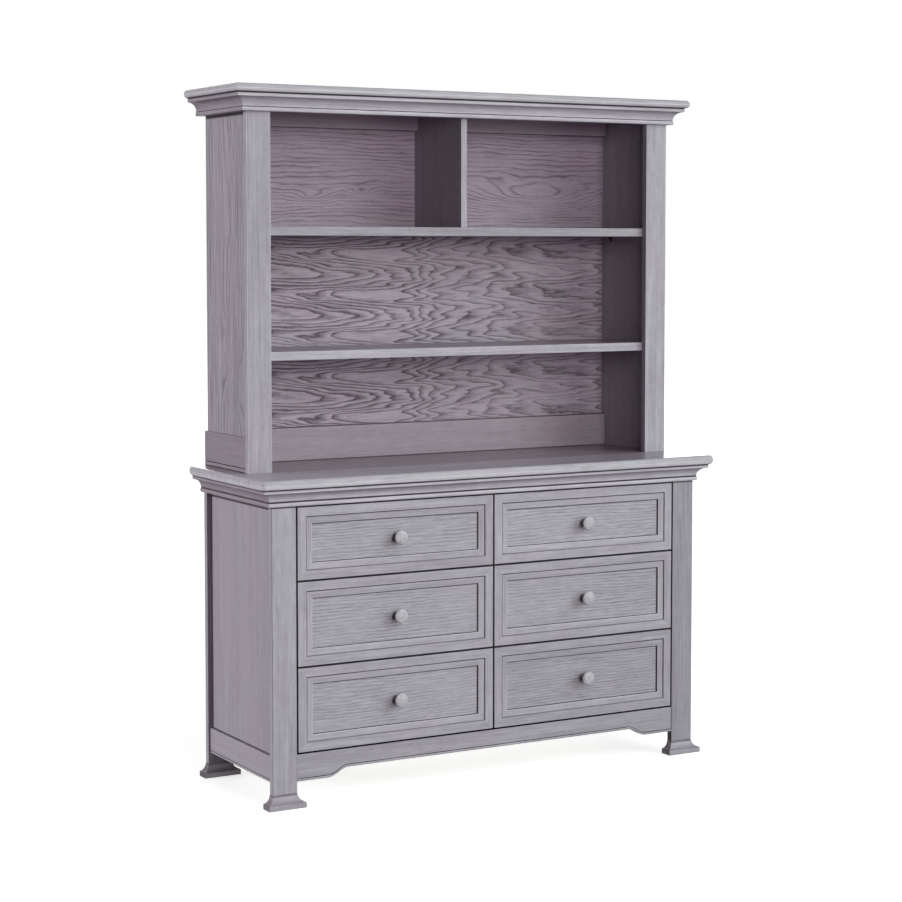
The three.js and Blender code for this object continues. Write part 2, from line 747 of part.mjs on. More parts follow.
// The whole piece: the dresser, and the hutch on its top
const dresserWithHutch = new THREE.Group();

const dresser = new THREE.Group();
dresser.position.y = frontY;
dresserWithHutch.add(dresser);
addLegs(dresser);
addSides(dresser);
addCarcase(dresser);
addTop(dresser);
addDrawers(dresser);

const hutch = new THREE.Group();
hutch.position.set(0, hutchFrontY, dresserHeight);
dresserWithHutch.add(hutch);
addHutchSides(hutch);
addHutchInside(hutch);
addCrown(hutch);

export default dresserWithHutch;
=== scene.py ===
import math

import bmesh
import bpy
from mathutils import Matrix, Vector


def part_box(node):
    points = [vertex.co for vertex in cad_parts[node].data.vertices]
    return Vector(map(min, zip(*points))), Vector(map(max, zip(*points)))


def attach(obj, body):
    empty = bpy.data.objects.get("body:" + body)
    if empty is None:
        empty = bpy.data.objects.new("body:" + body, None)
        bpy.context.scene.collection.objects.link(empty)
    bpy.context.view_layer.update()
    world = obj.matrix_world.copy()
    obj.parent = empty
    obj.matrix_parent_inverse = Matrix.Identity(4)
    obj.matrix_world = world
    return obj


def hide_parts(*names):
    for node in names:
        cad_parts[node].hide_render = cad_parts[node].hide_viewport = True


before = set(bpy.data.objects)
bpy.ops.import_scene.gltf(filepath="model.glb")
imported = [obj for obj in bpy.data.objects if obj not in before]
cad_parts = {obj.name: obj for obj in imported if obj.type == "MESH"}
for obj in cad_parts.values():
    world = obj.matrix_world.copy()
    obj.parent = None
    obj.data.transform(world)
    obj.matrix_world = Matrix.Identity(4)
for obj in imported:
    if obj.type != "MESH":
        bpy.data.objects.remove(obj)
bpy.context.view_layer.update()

scene = bpy.context.scene
mm = 0.001  # every size in the dictionaries below is in millimetres, unless its note says otherwise
print("frame loaded:", len(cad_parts), "pieces of wood")


# Camera, lights and floor

# The camera's place is in metres, its downward tilt and its turn to the right are in degrees
photoView = {
    "place": (-2.9605, -5.1145, 1.4198),
    "downward": 3.692,
    "turn": 29.881,
    "lens": 86.82,
    "shift": -0.07,
}


def addCamera():
    data = bpy.data.cameras.new("photoCamera")
    data.lens = photoView["lens"]
    data.shift_y = photoView["shift"]
    camera = bpy.data.objects.new("photoCamera", data)
    camera.location = photoView["place"]
    tilt = math.radians(90 - photoView["downward"])
    camera.rotation_euler = (tilt, 0, math.radians(-photoView["turn"]))
    scene.collection.objects.link(camera)
    scene.camera = camera


# Each light's side as seen from the dresser, its brightness, how wide it looks in degrees, and its colour
studioLights = {
    "frontLight": ((-0.14, -0.985, 0.1), 0.76, 12, (1.0, 1.0, 0.98)),
    "rightLight": ((0.5, -0.85, 0.15), 0.9, 44, (0.9, 1.0, 0.92)),
    "highLight": ((0.6, -0.6, 0.5), 1.35, 40, (0.86, 1.0, 1.0)),
    "topLight": ((0.15, -0.3, 0.94), 0.28, 30, (1.0, 0.72, 0.86)),
    "leftLight": ((-0.9, 0.4, 0.16), 2.65, 24, (1.0, 0.98, 1.0)),
    "backLight": ((0.3, 0.95, 0.1), 1.7, 40, (1.0, 1.0, 0.98)),
    "paperGlow": ((-0.14, -0.985, -0.1), 0.26, 16, (1.0, 0.62, 0.9)),
}
sunDistance = 6  # metres, though a sun shines the same from anywhere
# A softbox near the front: its place, what it faces and its width in metres, and its power in watts
softbox = {
    "place": (-0.5, -2.8, 1.9),
    "faces": (0, 0, 1.0),
    "width": 1.0,
    "power": 20,
    "colour": (1.0, 0.98, 0.93),
}
roomLight = {"strength": 0.05, "colour": (1.0, 0.9, 0.97), "mirrored": 0.4}
# The paper on the floor: how far it reaches in metres, its clouds per metre, their two shades, and its glow
floorLook = {"reach": 40.0, "clouds": (2.0, 2.0, 2.0), "shades": (0.62, 0.66), "roughness": 0.9, "glow": 0.74}


def addLamp(name, kind, power, colour, place, faces):
    data = bpy.data.lights.new(name, kind)
    data.energy = power
    data.color = colour
    lamp = bpy.data.objects.new(name, data)
    lamp.location = place
    lamp.rotation_euler = (Vector(place) - Vector(faces)).to_track_quat("Z", "Y").to_euler()
    scene.collection.objects.link(lamp)
    return lamp


def addLights():
    for name, (stands, strength, spread, colour) in studioLights.items():
        place = [sunDistance * part for part in stands]
        sun = addLamp(name, "SUN", strength, colour, place, (0, 0, 0))
        sun.data.angle = math.radians(spread)
    lamp = addLamp("softbox", "AREA", softbox["power"], softbox["colour"], softbox["place"], softbox["faces"])
    lamp.data.shape = "DISK"
    lamp.data.size = softbox["width"]
    lamp.visible_glossy = False  # no mirror image of it on the tops


def addNode(tree, kind, values=None, **settings):
    made = tree.nodes.new("ShaderNode" + kind)
    for key, value in settings.items():
        setattr(made, key, value)
    for key, value in (values or {}).items():
        if isinstance(value, bpy.types.NodeSocket):
            tree.links.new(value, made.inputs[key])
        else:
            made.inputs[key].default_value = value
    return made


def maths(tree, operation, *terms):
    return addNode(tree, "Math", dict(enumerate(terms)), operation=operation).outputs[0]


def add(tree, *terms):
    total = terms[0]
    for term in terms[1:]:
        total = maths(tree, "ADD", total, term)
    return total


def minus(tree, value, less):
    return maths(tree, "SUBTRACT", value, less)


def times(tree, value, factor):
    return maths(tree, "MULTIPLY", value, factor)


def over(tree, value, divisor):
    return maths(tree, "DIVIDE", value, divisor)


def combine(tree, *parts):
    return addNode(tree, "CombineXYZ", dict(enumerate(parts))).outputs[0]


def separate(tree, where):
    return addNode(tree, "SeparateXYZ", {0: where}).outputs


def vectorMaths(tree, operation, *terms):
    return addNode(tree, "VectorMath", dict(enumerate(terms)), operation=operation).outputs[0]


def speckle(tree, where, scales, detail=3.0, roughness=0.55):
    stretched = vectorMaths(tree, "MULTIPLY", where, scales)
    values = {"Vector": stretched, "Scale": 1.0, "Detail": detail, "Roughness": roughness}
    return addNode(tree, "TexNoise", values).outputs[0]


def mapRange(tree, value, low, high, toLow, toHigh):
    values = {0: value, 1: low, 2: high, 3: toLow, 4: toHigh}
    return addNode(tree, "MapRange", values).outputs[0]


def ramp(tree, value, stops):
    made = addNode(tree, "ValToRGB", {0: value})
    elements = made.color_ramp.elements
    while len(elements) < len(stops):
        elements.new(0.5)
    for element, (position, colour) in zip(elements, stops):
        element.position = position
        element.color = colour
    return made.outputs[0]


def linear(shade):
    def channel(value):
        value = value / 255
        return value / 12.92 if value <= 0.04045 else ((value + 0.055) / 1.055) ** 2.4
    return [channel(value) for value in shade]


def grey(level):
    return (level, level, level, 1.0)


def newFinish(name):
    made = bpy.data.materials.new(name)
    made.use_nodes = True
    made.node_tree.nodes.clear()
    return made


def addShader(tree, values):
    shader = addNode(tree, "BsdfPrincipled", values)
    addNode(tree, "OutputMaterial", {0: shader.outputs[0]})


def addRoom():
    world = bpy.data.worlds.new("studio")
    world.use_nodes = True
    tree = world.node_tree
    tree.nodes.clear()
    seen = addNode(tree, "Background", {"Color": (1, 1, 1, 1), "Strength": 1.0})
    values = {"Color": (*roomLight["colour"], 1), "Strength": roomLight["strength"]}
    lighting = addNode(tree, "Background", values)
    path = addNode(tree, "LightPath")
    mirrored = times(tree, path.outputs["Is Glossy Ray"], roomLight["mirrored"])
    share = maths(tree, "MAXIMUM", path.outputs["Is Camera Ray"], mirrored)
    mix = addNode(tree, "MixShader", {0: share, 1: lighting.outputs[0], 2: seen.outputs[0]})
    addNode(tree, "OutputWorld", {0: mix.outputs[0]})
    scene.world = world
    scene.view_settings.view_transform = "Standard"
    scene.view_settings.look = "None"


def addFloor():
    paper = newFinish("palePaper")
    tree = paper.node_tree
    cloud = speckle(tree, addNode(tree, "TexCoord").outputs["Object"], floorLook["clouds"])
    low, high = floorLook["shades"]
    addShader(tree, {
        "Base Color": ramp(tree, cloud, [(0.0, grey(low)), (1.0, grey(high))]),
        "Roughness": floorLook["roughness"],
        "Emission Color": (1, 1, 1, 1),
        "Emission Strength": floorLook["glow"],
    })
    reach = floorLook["reach"]
    mesh = bpy.data.meshes.new("floor")
    corners = [(-reach, -reach, 0), (reach, -reach, 0), (reach, reach, 0), (-reach, reach, 0)]
    mesh.from_pydata(corners, [], [(0, 1, 2, 3)])
    mesh.materials.append(paper)
    floor = bpy.data.objects.new("floor", mesh)
    scene.collection.objects.link(floor)
    floor.visible_diffuse = False  # the paper throws no light back up
    floor.visible_glossy = False
    floor.visible_shadow = False  # it lets the light from below through, as if it threw it up itself


addCamera()
addLights()
addRoom()
addFloor()
print("camera, lights and floor placed")


# Wood finishes

# tones: dark, middle and light, as 0 to 255 shades
# wander: how far a line strays across the grain, in metres
# fibres, streaks: cells per metre along and across the grain, and how strong
# figure: how the growth lines run, their pitch or count, and how strong
# eyes: where each lies on the board in metres, how far it reaches along and across, and how high its hill is
plainWash = {
    "wander": 0.004, "fibres": (12, 300, 0.6), "streaks": (4.0, 60, 0.4), "blotches": 0.2, "pores": 0.1,
    "figure": None, "shine": 0.3, "relief": 0.08, "mottle": 0.2,
}
greyWash = {
    "faceWash": {
        "tones": ((132, 127, 135), (162, 158, 166), (186, 183, 190)),
        "wander": 0.006, "fibres": (9, 420, 0.6), "streaks": (2.2, 60, 0.45), "blotches": 0.5, "pores": 0.25,
        "roughness": (0.4, 0.56), "relief": 0.10, "mottle": 0.35,
    },
    "sideWash": {
        "tones": ((104, 97, 106), (155, 149, 157), (184, 179, 187)),
        "wander": 0.012, "fibres": (9, 120, 0.4), "streaks": (3.0, 40, 0.3), "pores": 0.4,
        "figure": {
            "line": "combed", "pitch": 0.0165, "bend": 2.0, "strength": 0.29,
            "eyes": [(1.13, 0.1, 0.1, 0.03, 3.0), (1.07, 0.03, 0.09, 0.025, -2.6), (1.5, 0.06, 0.2, 0.05, 2.4)],
        },
        "roughness": (0.48, 0.66), "relief": 0.35, "mottle": 0.5,
    },
    "carcaseWash": {
        "tones": ((132, 125, 136), (163, 157, 167), (180, 175, 184)),
        "wander": 0.006, "fibres": (5, 200, 0.3), "streaks": (1.1, 34, 0.35), "blotches": 0.3, "pores": 0.15,
        "roughness": (0.42, 0.55), "mottle": 0.3,
    },
    "railWash": {
        "tones": ((114, 103, 113), (144, 134, 143), (166, 157, 166)),
        "wander": 0.005, "fibres": (7, 260, 0.35), "streaks": (1.6, 40, 0.25), "blotches": 0.4, "pores": 0.15,
        "roughness": (0.42, 0.56), "relief": 0.1, "mottle": 0.6,
    },
    "panelWash": {
        "tones": ((112, 108, 116), (164, 161, 168), (198, 196, 202)),
        "wander": 0.012, "fibres": (9, 330, 0.28), "streaks": (28, 640, 0.5), "pores": 0.3,
        "figure": {"line": "combed", "pitch": 0.0086, "bend": 2.6, "strength": 0.26},
        "roughness": (0.42, 0.6), "relief": 0.3, "mottle": 0.3,
    },
    "wildWash": {
        "tones": ((88, 77, 87), (160, 151, 160), (188, 181, 188)),
        "fibres": (14, 300, 0.4), "streaks": (2.0, 30, 0.25), "pores": 0.3,
        "figure": {
            "line": "peeled", "strength": 0.56, "boldness": (1.2, 0.8), "turn": 0.113, "sway": 7.0,
            "slope": 8.5, "reach": (1.7, 1.25), "broadHills": 4.6, "broadRipples": 1.0, "ragged": 0.22,
            # where the noses of the figure lie nested, how wide that belt is and how many lines it holds
            "nest": (0.03, 0.036, 2.2),
        },
        "roughness": (0.5, 0.65), "relief": 0.25, "mottle": 0.6,
    },
    "levelWash": {
        "tones": ((84, 72, 83), (150, 138, 149), (176, 166, 176)),
        "wander": 0.012, "fibres": (10, 260, 0.35), "streaks": (1.5, 30, 0.2), "pores": 0.25,
        "figure": {
            "line": "rings", "pitch": 0.0118, "bend": 3.6, "strength": 0.45,
            "eyes": [
                (-0.326, 1.56, 0.05, 0.017, 2.4), (-0.179, 1.572, 0.035, 0.016, 2.2),
                (0.39, 1.565, 0.2, 0.044, 6.2),
            ],
        },
        "roughness": (0.5, 0.65), "relief": 0.2, "mottle": 0.6,
    },
    # Lighter eased edges: partly worn wash, partly painted highlight
    "rubbedEdge": {
        "tones": ((150, 146, 153), (184, 182, 188), (204, 203, 208)),
        "streaks": (3.0, 60, 0.4), "roughness": (0.34, 0.46),
    },
    "topWash": {
        "tones": ((134, 127, 135), (163, 157, 165), (186, 181, 188)),
        "wander": 0.006, "fibres": (7, 360, 0.4), "streaks": (1.6, 50, 0.4), "blotches": 0.3, "pores": 0.2,
        "roughness": (0.24, 0.34), "shine": 0.4, "relief": 0.03, "mottle": 0.5,
    },
    # Painted shade for corners, grooves, undersides and gaps, from the lightest to the black of a gap in shadow
    "settledWash": {"tones": ((88, 81, 89), (116, 109, 117), (144, 137, 145)), "roughness": (0.5, 0.62)},
    "crevice": {"tones": ((44, 38, 43), (66, 58, 65), (90, 81, 89)), "roughness": (0.55, 0.7)},
    "gapStain": {"tones": ((15, 12, 14), (27, 22, 26), (44, 38, 43)), "roughness": (0.6, 0.75), "shine": 0.08},
    "knobWash": {
        "tones": ((122, 116, 124), (176, 173, 179), (212, 211, 215)),
        "wander": 0.003, "fibres": (90, 420, 0.55), "streaks": (40, 130, 0.5), "pores": 0.4,
        "roughness": (0.34, 0.46), "relief": 0.1,
    },
    "boxWood": {
        "tones": ((196, 166, 122), (221, 196, 155), (236, 217, 182)),
        "wander": 0.006, "fibres": (8, 300, 0.45), "streaks": (2.0, 50, 0.5), "pores": 0.3,
        "figure": {"line": "rings", "pitch": 0.02, "bend": 2.5, "strength": 0.2},
        "roughness": (0.45, 0.6), "relief": 0.12,
    },
    "bareWood": {
        "tones": ((160, 128, 88), (196, 166, 124), (216, 190, 150)),
        "wander": 0.01, "fibres": (9, 240, 0.6), "streaks": (2.0, 45, 0.5), "pores": 0.45,
        "figure": {"line": "rings", "pitch": 0.016, "bend": 3.0, "strength": 0.25},
        "roughness": (0.62, 0.78), "relief": 0.2, "mottle": 0.3,
    },
}
# Painted shade and a mauve painted reflection for tops inside the hutch
insideShadeTones = ((104, 92, 101), (138, 124, 134), (162, 149, 159))
greyWash["insideWash"] = {**greyWash["topWash"], "tones": insideShadeTones}
greyWash["highWash"] = {**greyWash["topWash"], "roughness": (0.5, 0.65), "shine": 0.15}
# The rounded nose of a top, painted in bands of light and shade
greyWash["noseWash"] = {**greyWash["rubbedEdge"], "roughness": (0.5, 0.62), "blotches": 0.5}

# The noise in the wood: cells per metre along the grain and both ways across it, its layers and their roughness
woodNoise = {
    "stray": ((1.6, 7.0, 7.0), 2.0, 0.55),
    "blotches": ((26.0, 48.0, 48.0), 3.0, 0.65),
    "pores": ((45.0, 900.0, 900.0), 1.0, 0.55),
    "clouds": ((4.0, 11.0, 11.0), 2.0, 0.55),
    "fade": ((3.5, 22.0, 22.0), 2.0, 0.55),
    "hills": ((2.4, 13.0, 13.0), 1.5, 0.4),
    "ripples": ((16.0, 45.0, 45.0), 1.5, 0.4),
    "sway": ((1.7, 0.0, 0.0), 1.0, 0.55),
    "broadHills": ((4.0, 0.5, 0.5), 1.0, 0.4),
    "broadRipples": ((13.0, 1.4, 1.4), 1.0, 0.4),
    "ragged": ((60.0, 120.0, 120.0), 1.0, 0.55),
}
# The line that a growth ring draws across one pitch: a dark porous band, a faint second line, then clear wood
ringLine = {
    "rings": [
        (0.0, 0.9), (0.1, 0.5), (0.24, 0.1), (0.45, 0.0), (0.6, 0.2), (0.7, 0.04), (0.88, 0.3), (1.0, 0.9),
    ],
    "peeled": [
        (0.0, 1.0), (0.08, 0.85), (0.19, 0.5), (0.4, 0.32), (0.56, 0.05), (0.86, 0.0), (0.94, 0.45), (1.0, 1.0),
    ],
    "combed": [(0.0, 1.0), (0.16, 0.7), (0.3, 0.06), (0.62, 0.0), (0.8, 0.08), (0.9, 0.6), (1.0, 1.0)],
}
# How far each kind of line fades where it is faintest, and the two tints that cloud the wash
faintest = {"rings": 0.35, "combed": 0.35, "peeled": 0.6}
cloudTints = [(0.3, (1.04, 0.97, 1.01, 1)), (0.7, (0.96, 1.01, 1.02, 1))]
# How a board's tone is put together
woodTone = {
    "apart": (1.37, 0.291, 0.613),  # metres from the piece of noise that one board uses to the next board's
    "lines": 1.6,  # how much stronger a line counts than its setting says
    "pores": (0.58, 0.7),  # where in its noise a pore begins and where it is full
    "fade": (0.36, 0.6),  # where in its noise a growth line is faintest and where it is full
    "ripples": 0.3,  # how far small bends reach, as a share of the broad ones
    "sheen": (0.2, 0.8),  # the tones with the roughest and with the smoothest wash
    "bump": 0.6,
}


def noise(tree, where, kind):
    return speckle(tree, where, *woodNoise[kind])


# Veneer peeled from a turning log: the same figure comes round again at each turn
def peeledRings(tree, figure, grain, along, up):
    sway = times(tree, noise(tree, grain, "sway"), figure["sway"])
    angle = add(tree, times(tree, up, 2 * math.pi / figure["turn"]), sway)
    wave = maths(tree, "COSINE", angle)
    where = combine(tree, along, wave, maths(tree, "SINE", angle))
    middle, width, rise = figure["nest"]
    away = over(tree, minus(tree, middle, along), width)
    beyond = over(tree, 1.0, add(tree, 1.0, maths(tree, "EXPONENT", away)))
    reach = mapRange(tree, beyond, 0.0, 1.0, *figure["reach"])
    boldness = mapRange(tree, beyond, 0.0, 1.0, *figure["boldness"])
    rings = add(tree, times(tree, along, figure["slope"]), times(tree, wave, reach), times(tree, beyond, rise))
    for kind, place in (("broadHills", where), ("ragged", grain), ("broadRipples", where)):
        rings = add(tree, rings, times(tree, noise(tree, place, kind), figure[kind]))
    return rings, boldness


# Lines that run along the board, bent by low hills and round the eyes
def straightRings(tree, figure, grain, along, up):
    rings = over(tree, up, figure["pitch"])
    rings = add(tree, rings, times(tree, noise(tree, grain, "hills"), figure["bend"]))
    rings = add(tree, rings, times(tree, noise(tree, grain, "ripples"), figure["bend"] * woodTone["ripples"]))
    for x, z, reachAlong, reachAcross, lift in figure.get("eyes", ()):
        fromX = over(tree, minus(tree, along, x), reachAlong)
        fromZ = over(tree, minus(tree, up, z), reachAcross)
        squared = add(tree, maths(tree, "POWER", fromX, 2.0), maths(tree, "POWER", fromZ, 2.0))
        hill = maths(tree, "EXPONENT", times(tree, squared, -1.0))
        rings = add(tree, rings, times(tree, hill, lift))
    return rings, 1.0


def growthLines(tree, figure, grain, bent):
    along, up, deep = separate(tree, bent)
    drawRings = peeledRings if figure["line"] == "peeled" else straightRings
    rings, boldness = drawRings(tree, figure, grain, along, up)
    stops = [(place, grey(level)) for place, level in ringLine[figure["line"]]]
    line = ramp(tree, maths(tree, "FRACT", rings), stops)
    fade = mapRange(tree, noise(tree, grain, "fade"), *woodTone["fade"], faintest[figure["line"]], 1.0)
    return times(tree, times(tree, line, fade), boldness)


# The grain is named by two axes, along it and across it, and place tells two boards of one finish apart
def drawWood(tree, look, grain, place, shade):
    order = ["xyz".index(letter) for letter in grain]
    order.append(3 - sum(order))
    parts = separate(tree, addNode(tree, "TexCoord").outputs["Object"])
    turned = combine(tree, *[parts[axis] for axis in order])
    where = vectorMaths(tree, "ADD", turned, [place * step for step in woodTone["apart"]])
    stray = times(tree, minus(tree, noise(tree, where, "stray"), 0.5), look["wander"] * 2)
    bent = vectorMaths(tree, "ADD", where, combine(tree, 0.0, stray, 0.0))
    tone = 0.5
    for along, across, strength in (look["fibres"], look["streaks"]):
        line = minus(tree, speckle(tree, bent, (along, across, across)), 0.5)
        tone = add(tree, times(tree, line, strength * woodTone["lines"]), tone)
    blotches = minus(tree, noise(tree, where, "blotches"), 0.5)
    tone = add(tree, times(tree, blotches, look["blotches"]), tone)
    dots = mapRange(tree, noise(tree, bent, "pores"), *woodTone["pores"], 0.0, 1.0)
    tone = minus(tree, tone, times(tree, dots, look["pores"] * 0.5))
    if look["figure"]:
        lines = growthLines(tree, look["figure"], where, bent)
        tone = minus(tree, tone, times(tree, lines, look["figure"]["strength"]))
    dark, middle, light = [[part * shade for part in linear(each)] + [1] for each in look["tones"]]
    colour = ramp(tree, tone, [(0.0, dark), (0.5, middle), (1.0, light)])
    tint = ramp(tree, noise(tree, where, "clouds"), cloudTints)
    values = {0: look["mottle"], 6: colour, 7: tint}
    mixed = addNode(tree, "Mix", values, data_type="RGBA", blend_type="MULTIPLY")
    smooth, rough = look["roughness"]
    values = {"Strength": woodTone["bump"], "Distance": look["relief"] * mm, "Height": tone}
    bump = addNode(tree, "Bump", values)
    addShader(tree, {
        "Base Color": mixed.outputs[2],
        "Roughness": mapRange(tree, tone, *woodTone["sheen"], rough, smooth),
        "Specular IOR Level": look["shine"],
        "Normal": bump.outputs[0],
    })


metalLook = {
    "steel": {"tones": (grey(0.42), grey(0.62)), "roughness": (0.25, 0.4)},
    "bronzed": {"tones": ((0.03, 0.026, 0.024, 1), (0.07, 0.06, 0.055, 1)), "roughness": (0.38, 0.55)},
}


# Brushed metal: strokes per metre, where in their noise the two tones lie, and how strong and deep they are
brushing = {"strokes": (900.0, 900.0, 120.0), "range": (0.3, 0.7), "strength": 0.3, "depth": 0.02}


def drawMetal(tree, look):
    where = addNode(tree, "TexCoord").outputs["Object"]
    brushed = speckle(tree, where, brushing["strokes"])
    values = {"Strength": brushing["strength"], "Distance": brushing["depth"] * mm, "Height": brushed}
    bump = addNode(tree, "Bump", values)
    addShader(tree, {
        "Base Color": ramp(tree, brushed, list(zip(brushing["range"], look["tones"]))),
        "Metallic": 1.0,
        "Roughness": mapRange(tree, brushed, *brushing["range"], *look["roughness"]),
        "Normal": bump.outputs[0],
    })


# How much lighter or darker each board is painted: partly the board's own tone, partly painted light and shade,
# such as the shaded back leg and foot, the lighter mouldings and crown, the faces inside the hutch, the bands
# of the noses and the knob's rim
shades = {
    "leg_front_left": 0.92,
    "leg_front_right": 0.77,
    "leg_back_left": 0.92,
    "leg_shaded": 0.62,
    "foot_front_left": 0.9,
    "foot_front_right": 0.85,
    "foot_back_left": 0.55,
    "front_apron": 0.87,
    "side_panel_left": 0.9,
    "side_panel_right": 0.95,
    "side_rail_left": 0.95,
    "dresser_top": 0.95,
    "top_inside": 0.9,
    "top_nose_upper": 0.8,
    "top_nose_lower": 1.1,
    "top_nose_lowest": 1.4,
    "top_moulding": 1.28,
    "drawer_top_left": 0.95,
    "drawer_middle_left": 0.96,
    "drawer_middle_right": 0.95,
    "drawer_bottom_left": 0.96,
    "drawer_bottom_right": 0.89,
    "knobs": 0.95,
    "knob_rim": 1.12,
    "hutch_stile_left": 0.875,
    "hutch_stile_inside": 0.75,
    "hutch_side_left": 0.94,
    "hutch_side_inside": 0.9,
    "hutch_side_rail_left": 0.84,
    "hutch_divider": 0.78,
    "hutch_shelf_upper": 0.8,
    "hutch_shelf_lower": 1.06,
    "hutch_top": 1.08,
    "crown_nose_upper": 0.78,
    "crown_nose_lower": 1.1,
    "crown_nose_lowest": 1.2,
    "crown_moulding": 1.2,
}
madeFinishes = {}


def finishOf(kind, grain="", place=0, board=""):
    shade = shades.get(board, 1.0)
    name = f"{kind}-{grain}-{place}-{shade}" if grain else kind + "Metal"
    if name not in madeFinishes:
        made = newFinish(name)
        if grain:
            drawWood(made.node_tree, {**plainWash, **greyWash[kind]}, grain, place, shade)
        else:
            drawMetal(made.node_tree, metalLook[kind])
        madeFinishes[name] = made
    return madeFinishes[name]


# Shapes

roundShare = 0.3  # the middle of a rounded corner lies this share of its radius in from each side


# Skins a row of rings, and closes both ends: the sides come first, then the two ends
def skin(bm, rings, finish=0):
    rows = [[bm.verts.new(place) for place in ring] for ring in rings]
    faces = []
    for lower, upper in zip(rows, rows[1:]):
        for i in range(len(lower)):
            j = (i + 1) % len(lower)
            faces.append(bm.faces.new((lower[i], lower[j], upper[j], upper[i])))
    faces.append(bm.faces.new(list(reversed(rows[0]))))
    faces.append(bm.faces.new(rows[-1]))
    for face in faces:
        face.material_index = finish
    return faces


# The side faces of a skin, each with the number of its band and its place round the ring
def banded(faces, rings):
    return [(*divmod(index, len(rings[0])), face) for index, face in enumerate(faces[:-2])]


# An outline of depths and heights, drawn out from one end to the other
def extrude(bm, outline, fromX, toX, finish=0):
    return skin(bm, [[(x, y, z) for y, z in outline] for x in (fromX, toX)], finish)


# Rings round an axis, with a radius and a distance along it for each point of the outline
def turnedRings(centre, axis, outline, facets, towards=1):
    first, second = [other for other in range(3) if other != axis]
    rings = []
    for radius, along in outline:
        ring = []
        for step in range(facets):
            turn = 2 * math.pi * step / facets
            place = list(centre)
            place[axis] += towards * along * mm
            place[first] += radius * mm * math.cos(turn)
            place[second] += radius * mm * math.sin(turn)
            ring.append(place)
        rings.append(ring)
    return rings


# A half round from its foot to its head: how far set in, and how high
def halfRound(depth, height, steps):
    turns = [math.pi * (step / steps - 0.5) for step in range(steps + 1)]
    return [(depth * (1 - math.cos(turn)), height / 2 * (1 + math.sin(turn))) for turn in turns]


# A smooth bend from the first to the last of its guide points
def bend(guides, steps):
    points = []
    for step in range(steps + 1):
        row = guides
        while len(row) > 1:
            pairs = zip(row, row[1:])
            row = [tuple(a + (b - a) * step / steps for a, b in zip(*pair)) for pair in pairs]
        points.append(row[0])
    return points


def easeEdges(bm, edges, arris, finish=0):
    bmesh.ops.bevel(bm, geom=edges, offset=arris, segments=2, profile=0.5, affect="EDGES", material=finish)


def block(bm, corner, opposite, arris, finish=0, edgeFinish=1):
    sides = [sorted(pair) for pair in zip(corner, opposite)]
    corners = bmesh.ops.create_cube(bm, size=1)["verts"]
    for each in corners:
        each.co = [low if part < 0 else high for part, (low, high) in zip(each.co, sides)]
    for face in {face for each in corners for face in each.link_faces}:
        face.material_index = finish
    easeEdges(bm, list({edge for each in corners for edge in each.link_edges}), arris, edgeFinish)


def cutAcross(bm, place, normal):
    geometry = bm.verts[:] + bm.edges[:] + bm.faces[:]
    bmesh.ops.bisect_plane(bm, geom=geometry, plane_co=place, plane_no=normal)


# Each mark is the number of a finish and a test: a face takes the first finish whose test it passes
def markFaces(bm, marks):
    for face in bm.faces:
        for number, test in marks:
            if test(face):
                face.material_index = number
                break


# A piece named after a node, such as hutch_top.slab, stands for that node
def finishPiece(bm, name, finishes, body="carcase", sharp=32):
    bmesh.ops.recalc_face_normals(bm, faces=bm.faces)
    mesh = bpy.data.meshes.new(name)
    bm.to_mesh(mesh)
    bm.free()
    for each in finishes:
        mesh.materials.append(finishOf(*each))
    mesh.polygons.foreach_set("use_smooth", [True] * len(mesh.polygons))
    mesh.set_sharp_from_angle(angle=math.radians(sharp))
    piece = bpy.data.objects.new(name, mesh)
    scene.collection.objects.link(piece)
    shading = piece.modifiers.new("evenShading", "WEIGHTED_NORMAL")
    shading.keep_sharp = True
    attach(piece, body)
    node, dot, form = name.partition(".")
    if form:
        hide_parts(node)


# A flat board with eased edges, cut across at the heights where its finish changes
def addBoard(node, arris, finishes, marks=(), cuts=(), corners=None, body="carcase"):
    bm = bmesh.new()
    block(bm, *(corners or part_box(node)), arris * mm)
    for height in cuts:
        cutAcross(bm, (0, 0, height), (0, 0, 1))
    markFaces(bm, marks)
    finishPiece(bm, node + ".board", finishes, body)


sideSigns = {"left": -1, "right": 1}


# Legs and feet

legShape = {"arris": 0.8, "halfWidth": 34, "thickness": 19, "shadowTop": 765}
footShape = {
    "flare": 18.5,
    "blockHeight": 12.5,
    "bevel": 1.8,
    "height": 35,
    "coveShares": (0.22, 0.12),
    "coveSteps": 14,
    "cornerRadius": 1.2,
    "arris": 0.8,
}


def addLeg(node, place, row):
    shadowTop = legShape["shadowTop"] * mm
    sign = math.copysign(1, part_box(node)[0].x)
    # Painted shade: the legs' eased edges are painted as dark lines, the back legs' front faces are painted in
    # shade, and the front legs take painted shadow above shadowTop, under the moulding's bead, and on the inner
    # side beside the drawers
    marks = [(3, lambda face: face.normal.y < -0.9)]
    if row == "front":
        marks = [
            (2, lambda face: face.calc_center_median().z > shadowTop),
            (4, lambda face: face.normal.x * sign < -0.3),
        ]
    finishes = [("faceWash", "zx", place, node), ("crevice", "zx", 2), ("crevice", "zx")]
    finishes += [("settledWash", "zx", place, "leg_shaded"), ("crevice", "zy", 1)]
    addBoard(node, legShape["arris"], finishes, marks, [shadowTop])


# A foot's levels from the floor up: how far it stands out past the leg, and how high
def footLevels():
    shape = footShape
    out, arris, height = shape["flare"], shape["arris"], shape["blockHeight"]
    reach, foot = out - shape["bevel"], height + shape["bevel"]
    pullOut = reach * shape["coveShares"][0]
    pullUp = foot + (shape["height"] - foot) * shape["coveShares"][1]
    cove = bend([(reach, foot), (pullOut, pullUp), (0, shape["height"])], shape["coveSteps"])
    return [(out - arris, 0), (out, arris), (out, height), *cove]


